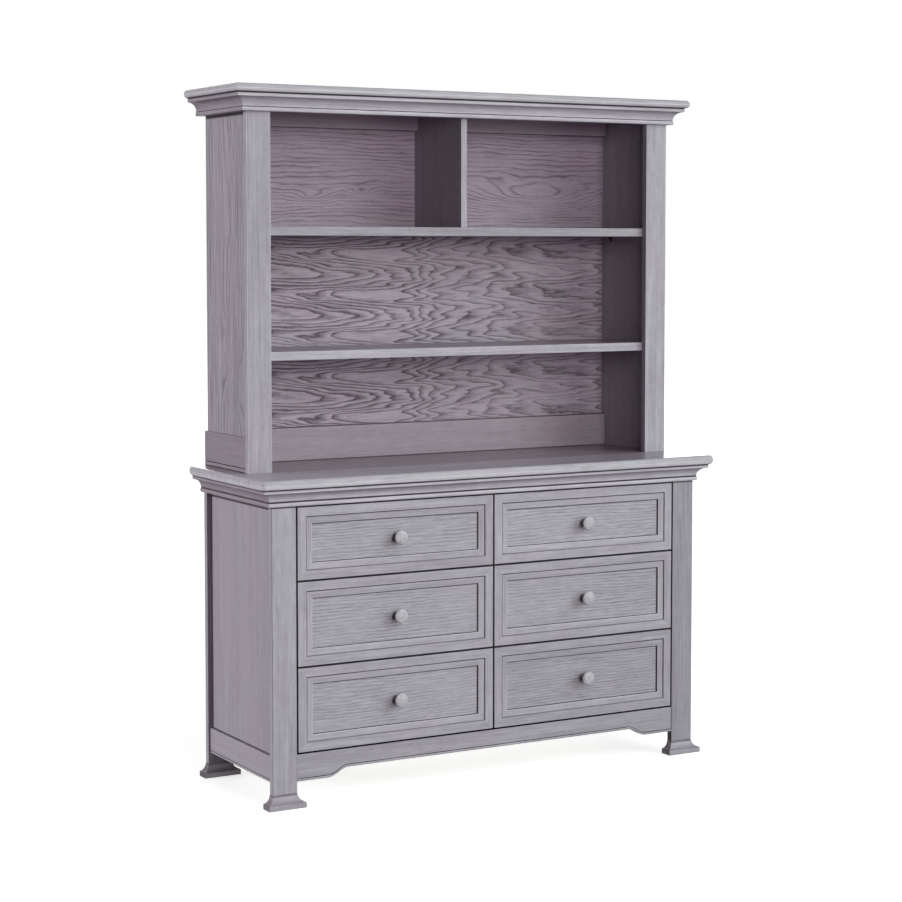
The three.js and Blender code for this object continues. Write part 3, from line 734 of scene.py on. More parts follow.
def footRing(out, height, centreX, frontY):
    half, radius, front = legShape["halfWidth"] + out, footShape["cornerRadius"], frontY - out
    nick = roundShare * radius
    side = [(half - radius, front), (half - nick, front + nick), (half, front + radius)]
    side.append((half, frontY + legShape["thickness"]))
    ring = [(-x, y) for x, y in reversed(side)] + side
    return [((centreX + x) * mm, y * mm, height * mm) for x, y in ring]


def addFoot(node, place):
    low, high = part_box(node)
    centreX, frontY = (low.x + high.x) / 2 / mm, high.y / mm - legShape["thickness"]
    rings = [footRing(out, height, centreX, frontY) for out, height in footLevels()]
    bevel, last = 3, len(rings) - 2
    bm = bmesh.new()
    # The bottom band is painted dark; the bevel, the top bands at the leg and the block's sides are painted
    # shade, and the other side faces take the darker rail wash as painted shade
    for band, side, face in banded(skin(bm, rings), rings):
        face.normal_update()
        across = abs(face.normal.x)
        if band == 0:
            face.material_index = 1
        elif band in (bevel, last - 1, last) or (band < bevel and across > 0.7):
            face.material_index = 2
        elif across > 0.4:
            face.material_index = 3
    finishes = [("faceWash", "xz", place + 4, node), ("crevice", "xz")]
    finishes += [("settledWash", "xz", 0, node), ("railWash", "yz", place, node)]
    finishPiece(bm, node + ".carved", finishes, sharp=28)


for number, row in enumerate(("front", "back")):
    for side, sign in sideSigns.items():
        addLeg(f"leg_{row}_{side}", number * 2 + (sign > 0), row)
        addFoot(f"foot_{row}_{side}", number * 2 + (sign > 0))
print("legs and feet made")


# Dresser's sides, with the guides inside

sideShape = {
    "thickness": 18,
    "arris": 0.8,
    "guideHeight": 14,
    "guideFeet": (146.05, 366.45, 586.85),
    "guideInsets": (1.5, 0.5),
    # painted shadow along the panel's foot, for so high above the rail, and above so high at its head, under
    # the moulding's bead
    "shadowWidth": 2.2,
    "shadowTop": 757,
}
railShape = {
    "sideRail": {"thickness": 20, "bead": 7, "groove": 1.5},
    "hutchRail": {"thickness": 8, "bead": 11.5, "groove": 1.5},
    "beadDepth": 1.1,
    "beadSteps": 8,
    # the groove's full depth ends at this share of its height, and then a lip runs out so deep and so high
    "grooveShare": 0.6,
    "lip": (0.35, 0.4),
    "arris": 0.8,
    "backGap": 0.5,
}


# A rail's outline across its thickness: how deep, and how high, with a round bead at its foot
def railOutline(shape, height):
    groove, arris = shape["groove"], railShape["arris"]
    bead = shape["bead"] - groove / 2
    outline = halfRound(railShape["beadDepth"], bead, railShape["beadSteps"])
    outline += [(groove, bead), (groove, bead + groove * railShape["grooveShare"])]
    lipDepth, lipHeight = railShape["lip"]
    outline += [(lipDepth, bead + groove), (0, bead + groove + lipHeight)]
    nick = arris * roundShare
    outline += [(0, height - arris), (nick, height - nick), (arris, height)]
    back = shape["thickness"] - railShape["backGap"]
    return outline + [(back, height), (back, 0)]


def addBeadedRail(node, shape, sign, kind, place):
    low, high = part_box(node)
    outline = railOutline(shape, (high.z - low.z) / mm)
    outer = low.x if sign < 0 else high.x
    rings = [[(outer - sign * deep * mm, y, low.z + up * mm) for deep, up in outline] for y in (low.y, high.y)]
    steps = railShape["beadSteps"]
    bm = bmesh.new()
    # Painted shadow: the bead's foot and the groove over it are painted near black
    for band, side, face in banded(skin(bm, rings), rings):
        if side < 2 or steps - 1 <= side <= steps + 3:
            face.material_index = 1
    finishPiece(bm, node + ".beaded", [(kind, "yz", place, node), ("gapStain", "yz")])


def addSide(side, sign):
    shape = sideShape
    node = "side_panel_" + side
    low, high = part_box(node)
    tip, outer = (low.x, high.x) if sign > 0 else (high.x, low.x)
    inner = outer - sign * shape["thickness"] * mm
    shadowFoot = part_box("side_rail_" + side)[1].z + shape["shadowWidth"] * mm
    shadowTop = shape["shadowTop"] * mm
    # Painted shadow: the strips at the foot and the head are painted dark
    marks = [(1, lambda face: not shadowFoot < face.calc_center_median().z < shadowTop)]
    corners = (outer, low.y, low.z), (inner, high.y, high.z)
    finishes = [("carcaseWash", "zy", sign + 1, node), ("crevice", "zy")]
    addBoard(node, shape["arris"], finishes, marks, (shadowFoot, shadowTop), corners)
    bm = bmesh.new()
    fromY, toY = low.y + shape["guideInsets"][0] * mm, high.y - shape["guideInsets"][1] * mm
    for foot in shape["guideFeet"]:
        head = (foot + shape["guideHeight"]) * mm
        block(bm, (tip, fromY, foot * mm), (inner, toY, head), shape["arris"] * mm, edgeFinish=0)
    finishPiece(bm, f"drawerGuides_{side}", [("bareWood", "yz", 3)])
    addBeadedRail("side_rail_" + side, railShape["sideRail"], sign, "carcaseWash", 5 + sign)


for side, sign in sideSigns.items():
    addSide(side, sign)
print("sides, guides and side rails made")


# Apron, with its bead along the raised lower edge

apronShape = {
    "underside": 64,
    "rise": 21.5,
    "flatLength": 86,
    "curveLength": 62,
    "curveShares": (0.42, 0.38),
    "curveSteps": 26,
    "legInner": 582,
    "fitGap": 0.3,
    "beadHeight": 7,
    "beadDepth": 1.3,
    "beadSteps": 8,
    "groove": 1.5,
    # the dark line over the bead: how much deeper than the groove, and how high above the bead
    "darkLine": [(1.0, 0.1), (1.0, 0.9), (0, 1.4)],
    "arris": 0.6,
}


# The lower edge from the middle to the right leg: how far out, and how high
def apronLine():
    shape = apronShape
    foot = shape["legInner"] - shape["flatLength"]
    head = foot - shape["curveLength"]
    low, high = shape["underside"], shape["underside"] + shape["rise"]
    headPull = head + shape["curveLength"] * shape["curveShares"][1]
    footPull = foot - shape["curveLength"] * shape["curveShares"][0]
    curve = bend([(head, high), (headPull, high), (footPull, low), (foot, low)], shape["curveSteps"])
    return [(0, high), *curve, (shape["legInner"] - shape["fitGap"], low)]


def addApron():
    shape = apronShape
    low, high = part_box("front_apron")
    half = apronLine()
    groove, arris, steps = shape["groove"], shape["arris"], shape["beadSteps"]
    bead = shape["beadHeight"] - groove / 2
    outline = halfRound(shape["beadDepth"], bead, steps)
    outline += [(groove + deep, bead + up) for deep, up in shape["darkLine"]]
    rings = []
    for x, z in [(-x, z) for x, z in reversed(half)] + half[1:]:
        section = [(low.y + deep * mm, (z + up) * mm) for deep, up in outline]
        section += [(low.y + groove * mm, high.z - arris * mm), (low.y + (groove + arris) * mm, high.z)]
        section += [(high.y, high.z), (high.y, z * mm)]
        rings.append([(x * mm, y, up) for y, up in section])
    count = len(rings[0])
    bm = bmesh.new()
    # Painted shadow: the bead's foot, the groove over it and the apron's top under the bottom drawer are
    # painted near black
    for band, side, face in banded(skin(bm, rings), rings):
        if side == 0 or steps - 1 <= side <= steps + 2:
            face.material_index = 1
        elif side in (count - 4, count - 3):
            face.material_index = 2
    finishes = [("faceWash", "xz", 9, "front_apron"), ("gapStain", "xz"), ("gapStain", "xy")]
    finishPiece(bm, "front_apron.shaped", finishes)


addApron()
print("apron made")


# Frames that the drawers run on, the partition and the dresser's back

dustFrameShape = {
    "halfWidth": 618.7,
    "halfHeight": 10,
    "front": -170.7,
    "railWidth": 60,
    "sideWidth": 84,
    "centreWidth": 96,
    "panelRecess": 6,
    # half the notch round the partition, with its gap
    "slot": 9.3,
    "arris": 0.7,
    "frontDepth": 1,
    "jointGap": 0.15,
    # the rail that the top moulding is fixed to
    "topRail": {"halfWidth": 581.7, "front": -190.5, "overlap": 30},
}
partitionShape = {"notchHalf": 10.3, "arris": 0.6}
frameCentres = {
    "dust_frame_bottom": 135.75,
    "dust_frame_lower": 356.15,
    "dust_frame_upper": 576.55,
    "top_frame": 779,
}
notchedFrames = ("dust_frame_lower", "dust_frame_upper")


def addDustFrame(node, centre):
    shape = dustFrameShape
    low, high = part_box(node)
    gap, half, slot = shape["jointGap"], shape["halfHeight"], shape["slot"]
    # The frame's own edges have no joint, so they lie a gap further out
    outer, front, back = shape["halfWidth"] + gap, shape["front"] - gap, high.y / mm + gap
    frontRail, backRail = shape["front"] + shape["railWidth"], high.y / mm - shape["railWidth"]
    sideX, centreX = shape["halfWidth"] - shape["sideWidth"], shape["centreWidth"] / 2
    middle = (shape["front"] + high.y / mm) / 2
    # Rails have finish 0, the pieces that run front to back 1, and the sunk panels 2
    bars = [(-sideX, sideX, backRail, back, 0)]
    pairs = [(sideX, outer, front, back, 1), (centreX, sideX, frontRail, backRail, 2)]
    if node in notchedFrames:
        pairs += [(slot, sideX, front, frontRail, 0), (slot, centreX, frontRail, middle, 1)]
        bars.append((-centreX, centreX, middle, backRail, 1))
    else:
        bars += [(-sideX, sideX, front, frontRail, 0), (-centreX, centreX, frontRail, backRail, 1)]
    bars += pairs + [(-toX, -fromX, *rest) for fromX, toX, *rest in pairs]
    bm = bmesh.new()

    def addBar(corner, opposite, finish):
        scaled = [[part * mm for part in each] for each in (corner, opposite)]
        block(bm, *scaled, shape["arris"] * mm, finish, finish)

    for fromX, toX, fromY, toY, finish in bars:
        thin = shape["panelRecess"] if finish == 2 else 0
        corner = (fromX + gap, fromY + gap, centre - half + thin)
        addBar(corner, (toX - gap, toY - gap, centre + half - thin), finish)
    if node == "top_frame":
        reach, railFront, overlap = shape["topRail"].values()
        addBar((-reach, railFront, centre + half + gap), (reach, shape["front"] + overlap, high.z / mm), 0)
        addBar((-reach, railFront, centre - half), (reach, front, centre + half), 0)
    # The frames' front faces, seen in the gaps between the drawers, are painted dark as painted shade
    edge = (shape["front"] + shape["frontDepth"]) * mm
    markFaces(bm, [(3, lambda face: face.normal.y < -0.9 and face.calc_center_median().y < edge)])
    finishes = [("bareWood", "xy", 1), ("bareWood", "yx", 2), ("bareWood", "xy", 4), ("crevice", "xz", 1)]
    finishPiece(bm, node + ".jointed", finishes)


def addPartition():
    low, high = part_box("centre_partition")
    middle = (dustFrameShape["front"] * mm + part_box("dust_frame_lower")[1].y) / 2
    reach = partitionShape["notchHalf"] * mm
    outline = [(low.y, low.z), (high.y, low.z)]
    for node in notchedFrames:
        z = frameCentres[node] * mm
        outline += [(high.y, z - reach), (middle, z - reach), (middle, z + reach), (high.y, z + reach)]
    bm = bmesh.new()
    extrude(bm, outline + [(high.y, high.z), (low.y, high.z)], low.x, high.x)
    easeEdges(bm, bm.edges[:], partitionShape["arris"] * mm)
    finishPiece(bm, "centre_partition.notched", [("bareWood", "zy", 5)])


# Panel pins along the edges of a thin back, their heads a hair under its outer face
pinRow = {
    "pitch": 105,
    "inset": 9,
    "sunk": 0.12,
    "facets": 10,
    # radius and depth, from the shank to the middle of the head
    "outline": [(2.1, 1.5), (2.1, 0.25), (1.785, 0.08), (0.735, 0.0)],
}
backShape = {"clearance": 0.3, "arris": 0.4}


def addBackPins(node, name):
    low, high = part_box(node)
    inset = pinRow["inset"] * mm

    def spread(first, last):
        count = max(2, round((last - first) / (pinRow["pitch"] * mm)) + 1)
        return [first + (last - first) * i / (count - 1) for i in range(count)]

    left, right, foot, head = low.x + inset, high.x - inset, low.z + inset, high.z - inset
    places = [(x, z) for x in spread(left, right) for z in (foot, head)]
    places += [(x, z) for z in spread(foot, head)[1:-1] for x in (left, right)]
    bm = bmesh.new()
    for x, z in places:
        centre = (x, high.y - pinRow["sunk"] * mm, z)
        skin(bm, turnedRings(centre, 1, pinRow["outline"], pinRow["facets"], -1))
    finishPiece(bm, name, [("steel",)])


# split: the height above which the sheet has another figure, and that finish
def addThinBack(node, kind, place, split=None):
    low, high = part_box(node)
    bm = bmesh.new()
    block(bm, low, (high.x, high.y - backShape["clearance"] * mm, high.z), backShape["arris"] * mm)
    finishes = [(kind, "xz", place), ("rubbedEdge", "xz"), ("railWash", "xz", 7)]
    markFaces(bm, [(2, lambda face: face.normal.y > 0.9)])
    if split:
        height, upperKind = split
        finishes.append((upperKind, "xz", place))
        cutAcross(bm, (0, 0, height * mm), (0, 0, 1))
        upper = lambda face: face.material_index == 0 and face.calc_center_median().z > height * mm
        markFaces(bm, [(3, upper)])
    finishPiece(bm, node + ".sheet", finishes)


for node, height in frameCentres.items():
    addDustFrame(node, height)
addPartition()
addThinBack("dresser_back", "railWash", 2)
addBackPins("dresser_back", "dresserBackPins")
print("frames, partition and dresser's back made")


# Tops, and the mouldings under them

slabShape = {
    "dresser_top": {"cornerRadius": 14, "place": 1, "finish": "topWash", "nose": "top_nose"},
    "hutch_top": {"cornerRadius": 3, "place": 2, "finish": "highWash", "nose": "crown_nose"},
    "edgeDepth": 10.5,
    "edgeSteps": 20,
    "cornerSteps": 10,
    "leastRadius": 1.5,
    # bands of the rounded edge, counted from its foot, where the finish changes: painted shade under the edge,
    # then painted light on the nose, lightest low down, and painted shade at its head
    "bandEnds": (3, 7, 10, 18),
    # the hutch stands behind this line and between these
    "hutchFront": -52.5,
    "hutchHalfWidth": 621,
}
# heavy: whether painted shade also lies in the cove's corners; the last entry: how high painted shade lies
# under the slab
mouldingShape = {
    "top_moulding": {
        "filletSetIn": 13.5, "halfWidth": 696.5, "frontEdge": -232.5, "faceY": -190.8, "backer": 637.3,
        "heavy": True, "stain": 3,
    },
    "crown_moulding": {
        "filletSetIn": 11.5, "halfWidth": 700, "frontEdge": -99, "faceY": -52.8, "backer": 638.3,
        "heavy": False, "stain": 2.4,
    },
    "inner": 650.3,
    "height": 45.7,
    "coveHeight": 23.5,
    "coveReach": 24,
    "coveSteps": 16,
    "beadHeight": 12,
    "beadStandout": 1.8,
    "beadSteps": 10,
    "quirk": 1.1,
    "filletStep": 0.9,
    "arris": 0.5,
    "mitreGap": 0.1,
    # what the strips behind the returns leave free: the posts' thickness and two thin gaps
    "postDepth": 19.3,
    "fitGap": 0.3,
    "stripGap": 0.05,
}


def slabRing(setIn, z, halfWidth, frontY, backY, radius):
    steps = slabShape["cornerSteps"]
    reach = max(radius - setIn, slabShape["leastRadius"] * mm)
    centre = setIn + reach
    corners = [
        (-halfWidth + centre, backY - radius, reach, radius, 90),
        (-halfWidth + centre, frontY + centre, reach, reach, 180),
        (halfWidth - centre, frontY + centre, reach, reach, 270),
        (halfWidth - centre, backY - radius, reach, radius, 0),
    ]
    ring = []
    for x, y, reachX, reachY, start in corners:
        for step in range(steps + 1):
            turn = math.radians(start + 90 * step / steps)
            ring.append((x + reachX * math.cos(turn), y + reachY * math.sin(turn), z))
    return ring


# Picks from five numbers by how many of the four band ends a band has passed
def bandFinish(band, ends, numbers):
    return numbers[sum(band >= end for end in ends)]


def addSlab(node):
    shape = slabShape[node]
    low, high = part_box(node)
    radius = shape["cornerRadius"] * mm
    edge = halfRound(slabShape["edgeDepth"] * mm, high.z - low.z, slabShape["edgeSteps"])
    rings = [slabRing(setIn, low.z + up, high.x, low.y, high.y, radius) for setIn, up in edge]
    bm = bmesh.new()
    # The foot of the rounded edge is painted dark as shade, and the nose in bands of painted light and shade
    for band, side, face in banded(skin(bm, rings), rings):
        face.material_index = bandFinish(band, slabShape["bandEnds"], (1, 2, 3, 4, 0))
    if node == "dresser_top":
        # Under the hutch the top is painted darker, as painted shade and a painted reflection of the hutch's
        # back
        front, half = slabShape["hutchFront"] * mm, slabShape["hutchHalfWidth"] * mm
        cutAcross(bm, (0, front, 0), (0, 1, 0))
        for x in (-half, half):
            cutAcross(bm, (x, 0, 0), (1, 0, 0))
        for face in bm.faces:
            middle = face.calc_center_median()
            if face.normal.z > 0.99 and middle.y > front and abs(middle.x) < half:
                face.material_index = 5
    finishes = [(shape["finish"], "xy", shape["place"], node), ("crevice", "xz")]
    finishes += [("noseWash", "xz", 5, shape["nose"] + part) for part in ("_lowest", "_lower", "_upper")]
    finishes.append(("insideWash", "xy", shape["place"], "top_inside"))
    finishPiece(bm, node + ".slab", finishes)


# From the inner foot, out over the bead, up the cove and the fillet: how far set in, how high,
# and whether the corner that follows is painted dark as painted shade
def mouldingOutline(own, inner):
    shape, filletSetIn, heavy = mouldingShape, own["filletSetIn"], own["heavy"]
    coveFoot, standout = filletSetIn + shape["coveReach"], shape["beadStandout"]
    bead = shape["beadHeight"] - shape["quirk"]
    outline = [(inner, 0, False)]
    for step, (setIn, up) in enumerate(halfRound(standout, bead, shape["beadSteps"])):
        outline.append((coveFoot - standout + setIn, up, step >= shape["beadSteps"] - 2))
    quirk = coveFoot + shape["quirk"]
    outline += [(quirk, bead, True), (quirk, shape["beadHeight"], True)]
    fillet = filletSetIn + shape["filletStep"]
    for step in range(shape["coveSteps"] + 1):
        turn = math.pi / 2 * step / shape["coveSteps"]
        out = fillet + (coveFoot - fillet) * math.cos(turn)
        up = shape["beadHeight"] + shape["coveHeight"] * math.sin(turn)
        outline.append((out, up, heavy and (step == 0 or step >= shape["coveSteps"] - 2)))
    ledge = shape["beadHeight"] + shape["coveHeight"] + shape["filletStep"]
    top, arris = shape["height"], shape["arris"]
    outline += [(fillet, ledge, True), (filletSetIn, ledge, False)]
    outline += [(filletSetIn, top - own["stain"], True), (filletSetIn, top - arris, True)]
    return outline + [(filletSetIn + arris, top, False), (inner, top, False)]


def addMoulding(node):
    shape, common = mouldingShape[node], mouldingShape
    low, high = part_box(node)
    half, frontEdge, backY = shape["halfWidth"], shape["frontEdge"], high.y / mm
    bm = bmesh.new()

    def addLength(outline, ends, finish):
        rings = []
        for end in ends:
            rings.append([(x * mm, y * mm, low.z + point[1] * mm) for (x, y), point in zip(end, outline)])
        for face, (setIn, up, dark) in zip(skin(bm, rings, finish), outline):
            if dark:
                face.material_index = 2

    gap = common["mitreGap"]
    outline = mouldingOutline(shape, shape["faceY"] - frontEdge)
    ends = []
    for sign in (-1, 1):
        ends.append([(sign * (half - setIn - gap), frontEdge + setIn) for setIn, up, dark in outline])
    addLength(outline, ends, 0)
    outline = mouldingOutline(shape, half - common["inner"])
    for sign in (-1, 1):
        start = [(sign * (half - setIn), frontEdge + setIn + gap) for setIn, up, dark in outline]
        end = [(sign * (half - setIn), backY) for setIn, up, dark in outline]
        addLength(outline, [start, end], 1)
        # The strip that fills in behind it, between the posts
        fromY = shape["faceY"] + common["fitGap"] + common["postDepth"]
        toY = backY - common["postDepth"] if node == "top_moulding" else backY
        toX = common["inner"] - common["stripGap"]
        corner = (sign * shape["backer"] * mm, fromY * mm, low.z)
        opposite = (sign * toX * mm, toY * mm, low.z + common["height"] * mm)
        block(bm, corner, opposite, common["arris"] * mm, 1, 1)
    finishes = [("faceWash", "xz", 6, node), ("railWash", "yz", 1), ("crevice", "xz")]
    finishPiece(bm, node + ".mitred", finishes)


for node in ("dresser_top", "hutch_top"):
    addSlab(node)
for node in ("top_moulding", "crown_moulding"):
    addMoulding(node)
print("tops and mouldings made")


# Drawers

frontShape = {
    "panelRecess": 8,
    # how far in from the edge, how far back from the face, and the finish up to there
    "steps": [
        (0, 19, "wash"),
        (0, 3.4, "settled"),
        (0, 1.4, "gap"),
        (0.8, 0.08, "gap"),
        (1.2, 0, "wash"),
        (24.2, 0, "wash"),
        (24.9, 0.6, "groove"),
        (25.15, 2.0, "groove"),
        (26.3, 2.1, "groove"),
        (26.8, 1.6, "groove"),
        (34, 2.2, "wash"),
        (41.6, 3.4, "wash"),
        (42.7, 3.9, "edge"),
        (43, 4.6, "edge"),
        (43.1, 9.4, "crevice"),
        (44.1, 9.4, "crevice"),
        (44.2, 8.2, "crevice"),
        (44.9, 8, "panel"),
        (46.3, 8, "shaded"),
    ],
    # the numbers of the finishes along the foot, the right, the head and the left:
    # the uprights have their own grain; the steps at the outer edges are painted shadow of the gaps, the
    # grooves are painted shade, darker at the head and the right, the panel's edge is painted shade, and the
    # edge steps are lighter, partly worn and partly painted highlight
    "finishes": {
        "wash": (0, 1, 0, 1),
        "edge": (2, 2, 2, 2),
        "crevice": (3, 3, 3, 3),
        "panel": (4, 4, 4, 4),
        "settled": (5, 5, 5, 5),
        "gap": (6, 6, 6, 6),
        "groove": (5, 3, 3, 5),
        "shaded": (4, 3, 3, 4),
    },
}
knobShape = {
    "radius": 18.5,
    "length": 33,
    "headThickness": 12,
    "neckRadius": 8,
    "neckSteps": 16,
    # the base's rounded edge: radii, and how far out
    "base": [(9.9, 0.3), (10.5, 0.9), (10.5, 2.5), (10.0, 3)],
    "shoulder": 5.5,
    "shoulderSteps": 10,
    "dome": 1.5,
    "domeShares": (0.8, 0.6, 0.4, 0.2, 0.03),
    "facets": 64,
    # bands, counted from the base, where the neck, the head's underside and the rim begin and the rim ends
    "bandEnds": (15, 31, 36),
}
# The knob's screw, a domed head with its shank: radii, and heights from the inside of the drawer's box
screwShape = {
    "boxInside": 31.3,
    "facets": 32,
    "outline": [
        (2.0, -23), (2.0, 0.2), (4.5, 0.3), (4.5, 0.9), (4.1, 1.7), (3.1, 2.4), (2.0, 2.75), (0.3, 2.85),
    ],
}
boxShape = {"wall": 12, "tails": 4, "pinShare": 0.16, "tailSlope": 1.6, "arris": 0.4, "seam": 0.12}


def addDrawerFront(label, place):
    node = label + "_front"
    low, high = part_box(node)
    rings = []
    for inset, deep, kind in frontShape["steps"]:
        x0, x1 = low.x + inset * mm, high.x - inset * mm
        z0, z1 = low.z + inset * mm, high.z - inset * mm
        y = low.y + deep * mm
        rings.append([(x0, y, z0), (x1, y, z0), (x1, y, z1), (x0, y, z1)])
    bm = bmesh.new()
    faces = skin(bm, rings)
    for level, side, face in banded(faces, rings):
        kind = frontShape["steps"][level + 1][2]
        face.material_index = frontShape["finishes"][kind][side]
    faces[-1].material_index = 4
    finishes = [("faceWash", "xz", 10 + place, label), ("faceWash", "zx", 10 + place, label)]
    finishes += [("rubbedEdge", "xz"), ("crevice", "xz"), ("panelWash", "xz", place, label)]
    finishes += [("settledWash", "xz"), ("gapStain", "xz")]
    finishPiece(bm, node + ".framed", finishes, label)


# A knob's outline from its base to the middle of its face: the radius, and how far out
def knobOutline():
    shape = knobShape
    shoulder, steps = shape["shoulder"], shape["shoulderSteps"]
    under, face = shape["length"] - shape["headThickness"], shape["radius"] - shoulder
    *outline, neckFoot = shape["base"]
    outline += bend([neckFoot, (shape["neckRadius"] / 2, under / 2), (face, under)], shape["neckSteps"])
    rimHead = shape["length"] - shape["dome"] - shoulder
    rim = [(under + shoulder, step) for step in range(1 - steps, 1)]
    for middle, step in rim + [(rimHead, step) for step in range(steps + 1)]:
        turn = math.pi / 2 * step / steps
        outline.append((face + shoulder * math.cos(turn), middle + shoulder * math.sin(turn)))
    for share in shape["domeShares"]:
        outline.append((face * share, shape["length"] - shape["dome"] * share * share))
    return outline


def addKnob(label, place):
    low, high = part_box(label + "_knob")
    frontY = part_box(label + "_front")[0].y
    centreX, centreZ = (low.x + high.x) / 2, (low.z + high.z) / 2
    foot = (centreX, frontY + frontShape["panelRecess"] * mm, centreZ)
    rings = turnedRings(foot, 1, knobOutline(), knobShape["facets"], -1)
    bm = bmesh.new()
    # The base and neck are painted in shade, the head's underside is painted dark as its shadow, and the rim is
    # painted lighter as a highlight
    for band, side, face in banded(skin(bm, rings), rings):
        face.material_index = bandFinish(band, knobShape["bandEnds"], (3, 1, 2, 0))
    finishes = [("knobWash", "yx", place, "knobs"), ("crevice", "xz", 2)]
    finishes += [("rubbedEdge", "xz", 3, "knob_rim"), ("settledWash", "yx")]
    finishPiece(bm, label + "_knob.turned", finishes, label, sharp=50)
    bm = bmesh.new()
    head = (centreX, frontY + screwShape["boxInside"] * mm, centreZ)
    skin(bm, turnedRings(head, 1, screwShape["outline"], screwShape["facets"]))
    finishPiece(bm, label + "_knobScrew", [("steel",)], label)


def addDrawerBox(label, place):
    low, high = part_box(label + "_box")
    wall, seam, slope, arris = [boxShape[key] * mm for key in ("wall", "seam", "tailSlope", "arris")]
    pitch = (high.z - low.z) / boxShape["tails"]
    rim = pitch * boxShape["pinShare"]
    tails = [(low.z + i * pitch + rim, low.z + (i + 1) * pitch - rim) for i in range(boxShape["tails"])]
    bm = bmesh.new()
    # Sides, with a row of tails at each end
    frontLine = []
    for foot, head in tails:
        frontLine += [(low.y + wall, foot + slope + seam), (low.y, foot + seam)]
        frontLine += [(low.y, head - seam), (low.y + wall, head - slope - seam)]
    backLine = [(low.y + high.y - y, z) for y, z in reversed(frontLine)]
    outline = [(low.y + wall, low.z), *frontLine, (low.y + wall, high.z)]
    outline += [(high.y - wall, high.z), *backLine, (high.y - wall, low.z)]
    extrude(bm, outline, low.x + wall, low.x)
    extrude(bm, outline, high.x - wall, high.x)
    # Front and back, with pins between the tails
    edges = [low.z, *[z for tail in tails for z in tail], high.z]
    for faceY, innerY in ((low.y, low.y + wall), (high.y, high.y - wall)):
        corner = (low.x + wall + seam, faceY, low.z)
        block(bm, corner, (high.x - wall - seam, innerY, high.z), arris, 1, 1)
        for index in range(0, len(edges), 2):
            foot, head = edges[index:index + 2]
            tailBelow, tailAbove = index > 0, index < len(edges) - 2
            section = [
                (faceY, foot + seam * tailBelow),
                (innerY, foot + (seam - slope) * tailBelow),
                (innerY, head + (slope - seam) * tailAbove),
                (faceY, head - seam * tailAbove),
            ]
            extrude(bm, section, low.x, low.x + wall + seam, 1)
            extrude(bm, section, high.x - wall - seam, high.x, 1)
    finishes = [("boxWood", "yz", place), ("boxWood", "xz", place)]
    finishPiece(bm, label + "_box.dovetailed", finishes, label)
    finishes = [("boxWood", "xy", place + 1), ("boxWood", "xy")]
    addBoard(label + "_bottom", arris / mm, finishes, body=label)


for number, row in enumerate(("bottom", "middle", "top")):
    for side, sign in sideSigns.items():
        label = f"drawer_{row}_{side}"
        place = number * 2 + (sign > 0)
        addDrawerFront(label, place)
        addDrawerBox(label, place)
        addKnob(label, place)
print("drawers made")


# Hutch

hutchShape = {
    "stileArris": 0.8,
    "sideArris": 0.8,
    "sideInner": 622,
    "sideShadow": 7,
    "shelfArris": 1.1,
    "headerArris": 1.0,
    "railArris": {"lower": 1.6, "upper": 1.2},
    "dividerArris": 1.0,
    "clearance": 0.3,
    "backSplit": 1462,  # hidden behind the upper shelf
}
shelfPinShape = {
    "radius": 2.5,
    "inset": 45,
    "facets": 24,
    # radius, and how far out from the side
    "outline": [(2.5, -2.0), (2.5, 8.2), (2.15, 8.8), (1.25, 9.0)],
    "plateWidth": 8,
    "plateHeight": 13,
    "plateSteps": 12,
    "plateFrom": 0.1,
    "plateTo": 1.1,
}


def addShelfPins(side, sign):
    shape = shelfPinShape
    innerX = sign * hutchShape["sideInner"] * mm
    clearance, inset = hutchShape["clearance"] * mm, shape["inset"] * mm
    bm = bmesh.new()
    for shelf in ("hutch_shelf_lower", "hutch_shelf_upper"):
        low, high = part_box(shelf)
        for y in (low.y + inset, high.y + clearance - inset):
            top = low.z - clearance
            centre = (innerX, y, top - shape["radius"] * mm)
            skin(bm, turnedRings(centre, 0, shape["outline"], shape["facets"], -sign))
            # The plate that lies against the side, rounded at its foot
            half = shape["plateWidth"] / 2 * mm
            foot = top - shape["plateHeight"] * mm + half
            outline = [(y - half, top)]
            for step in range(shape["plateSteps"] + 1):
                turn = math.pi * (1 + step / shape["plateSteps"])
                outline.append((y + half * math.cos(turn), foot + half * math.sin(turn)))
            outline.append((y + half, top))
            extrude(bm, outline, *[innerX - sign * shape[end] * mm for end in ("plateFrom", "plateTo")])
    finishPiece(bm, f"shelfPins_{side}", [("bronzed",)])


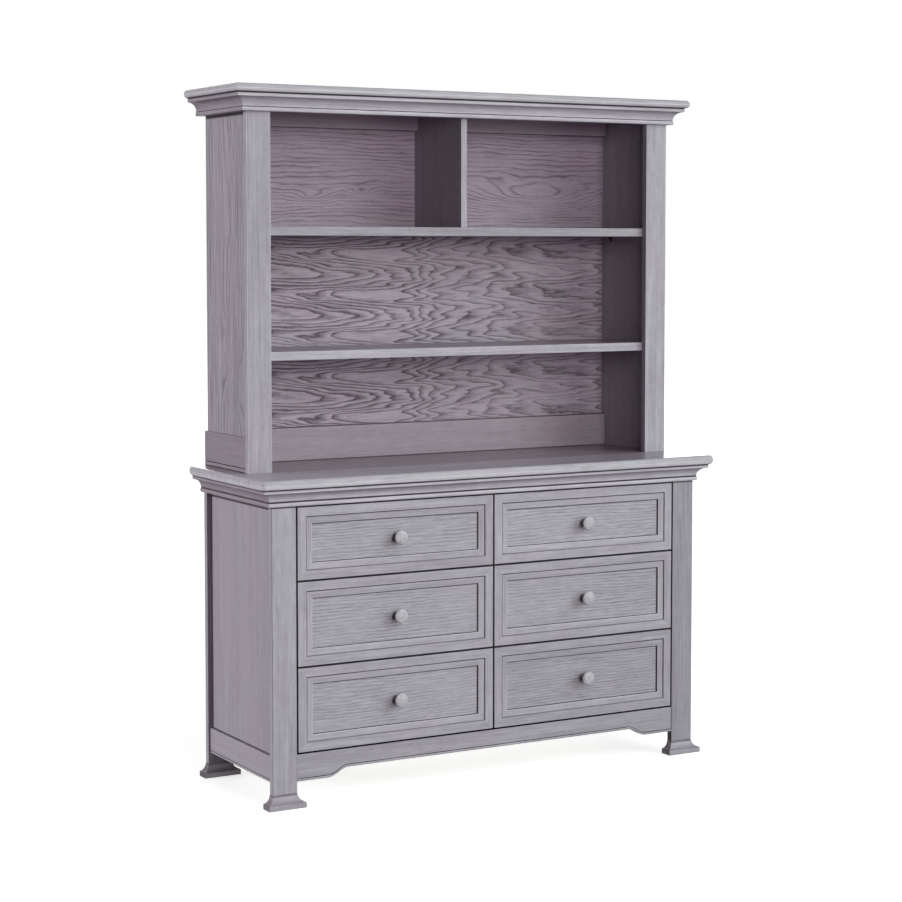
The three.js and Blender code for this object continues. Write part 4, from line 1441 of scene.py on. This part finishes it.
def addHutchEnd(side, sign):
    shape = hutchShape
    place = 20 + sign
    # Painted shade: the inner faces of the stile and the side are painted darker, and the side's head under the
    # crown is painted dark as its shadow
    inwards = lambda face: face.normal.x * sign < -0.9
    node = "hutch_stile_" + side
    finishes = [("faceWash", "zx", place, node), ("rubbedEdge", "zx")]
    finishes.append(("carcaseWash", "zy", place, "hutch_stile_inside"))
    addBoard(node, shape["stileArris"], finishes, [(2, inwards)])
    node = "hutch_side_" + side
    low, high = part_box(node)
    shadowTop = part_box("crown_moulding")[0].z - shape["sideShadow"] * mm
    underCrownShadow = lambda face: face.calc_center_median().z > shadowTop and face.normal.y < 0.5
    corners = (high.x if sign > 0 else low.x, low.y, low.z), (sign * shape["sideInner"] * mm, high.y, high.z)
    finishes = [("sideWash", "zy", int(sign > 0), node), ("crevice", "zy")]
    finishes.append(("carcaseWash", "zy", place, "hutch_side_inside"))
    marks = [(2, inwards), (1, underCrownShadow)]
    addBoard(node, shape["sideArris"], finishes, marks, [shadowTop], corners)
    addShelfPins(side, sign)
    addBeadedRail("hutch_side_rail_" + side, railShape["hutchRail"], sign, "railWash", place)


def addDivider():
    low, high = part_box("hutch_divider")
    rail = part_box("hutch_back_rail_upper")[0]
    notchY, notchZ = rail.y - hutchShape["clearance"] * mm, rail.z - hutchShape["clearance"] * mm
    outline = [(low.y, low.z), (high.y, low.z), (high.y, notchZ)]
    outline += [(notchY, notchZ), (notchY, high.z), (low.y, high.z)]
    bm = bmesh.new()
    extrude(bm, outline, low.x, high.x)
    easeEdges(bm, bm.edges[:], hutchShape["dividerArris"] * mm, 1)
    # The divider's sides are painted darker than its front edge, as painted shade
    markFaces(bm, [(2, lambda face: face.normal.y < -0.9)])
    finishes = [("carcaseWash", "zy", 8, "hutch_divider"), ("rubbedEdge", "zy"), ("faceWash", "zx", 8)]
    finishPiece(bm, "hutch_divider.notched", finishes)


def addHutch():
    for side, sign in sideSigns.items():
        addHutchEnd(side, sign)
    finishes = [("faceWash", "xz", 22), ("rubbedEdge", "xz")]
    addBoard("hutch_header", hutchShape["headerArris"], finishes)
    for place, level in enumerate(("lower", "upper"), 3):
        finishes = [("railWash", "xz", place), ("crevice", "xz")]
        addBoard("hutch_back_rail_" + level, hutchShape["railArris"][level], finishes)
    front = lambda face: face.normal.y < -0.9
    # The shelves' tops take painted shade and a painted reflection of the back
    for place, level in enumerate(("lower", "upper"), 5):
        node = "hutch_shelf_" + level
        finishes = [("insideWash", "xy", place), ("rubbedEdge", "xz"), ("faceWash", "xz", place, node)]
        addBoard(node, hutchShape["shelfArris"], finishes, [(2, front)])
    addThinBack("hutch_back", "wildWash", 0, (hutchShape["backSplit"], "levelWash"))
    addBackPins("hutch_back", "hutchBackPins")
    addDivider()


addHutch()
print("hutch made")

print("finishes made:", len(madeFinishes))
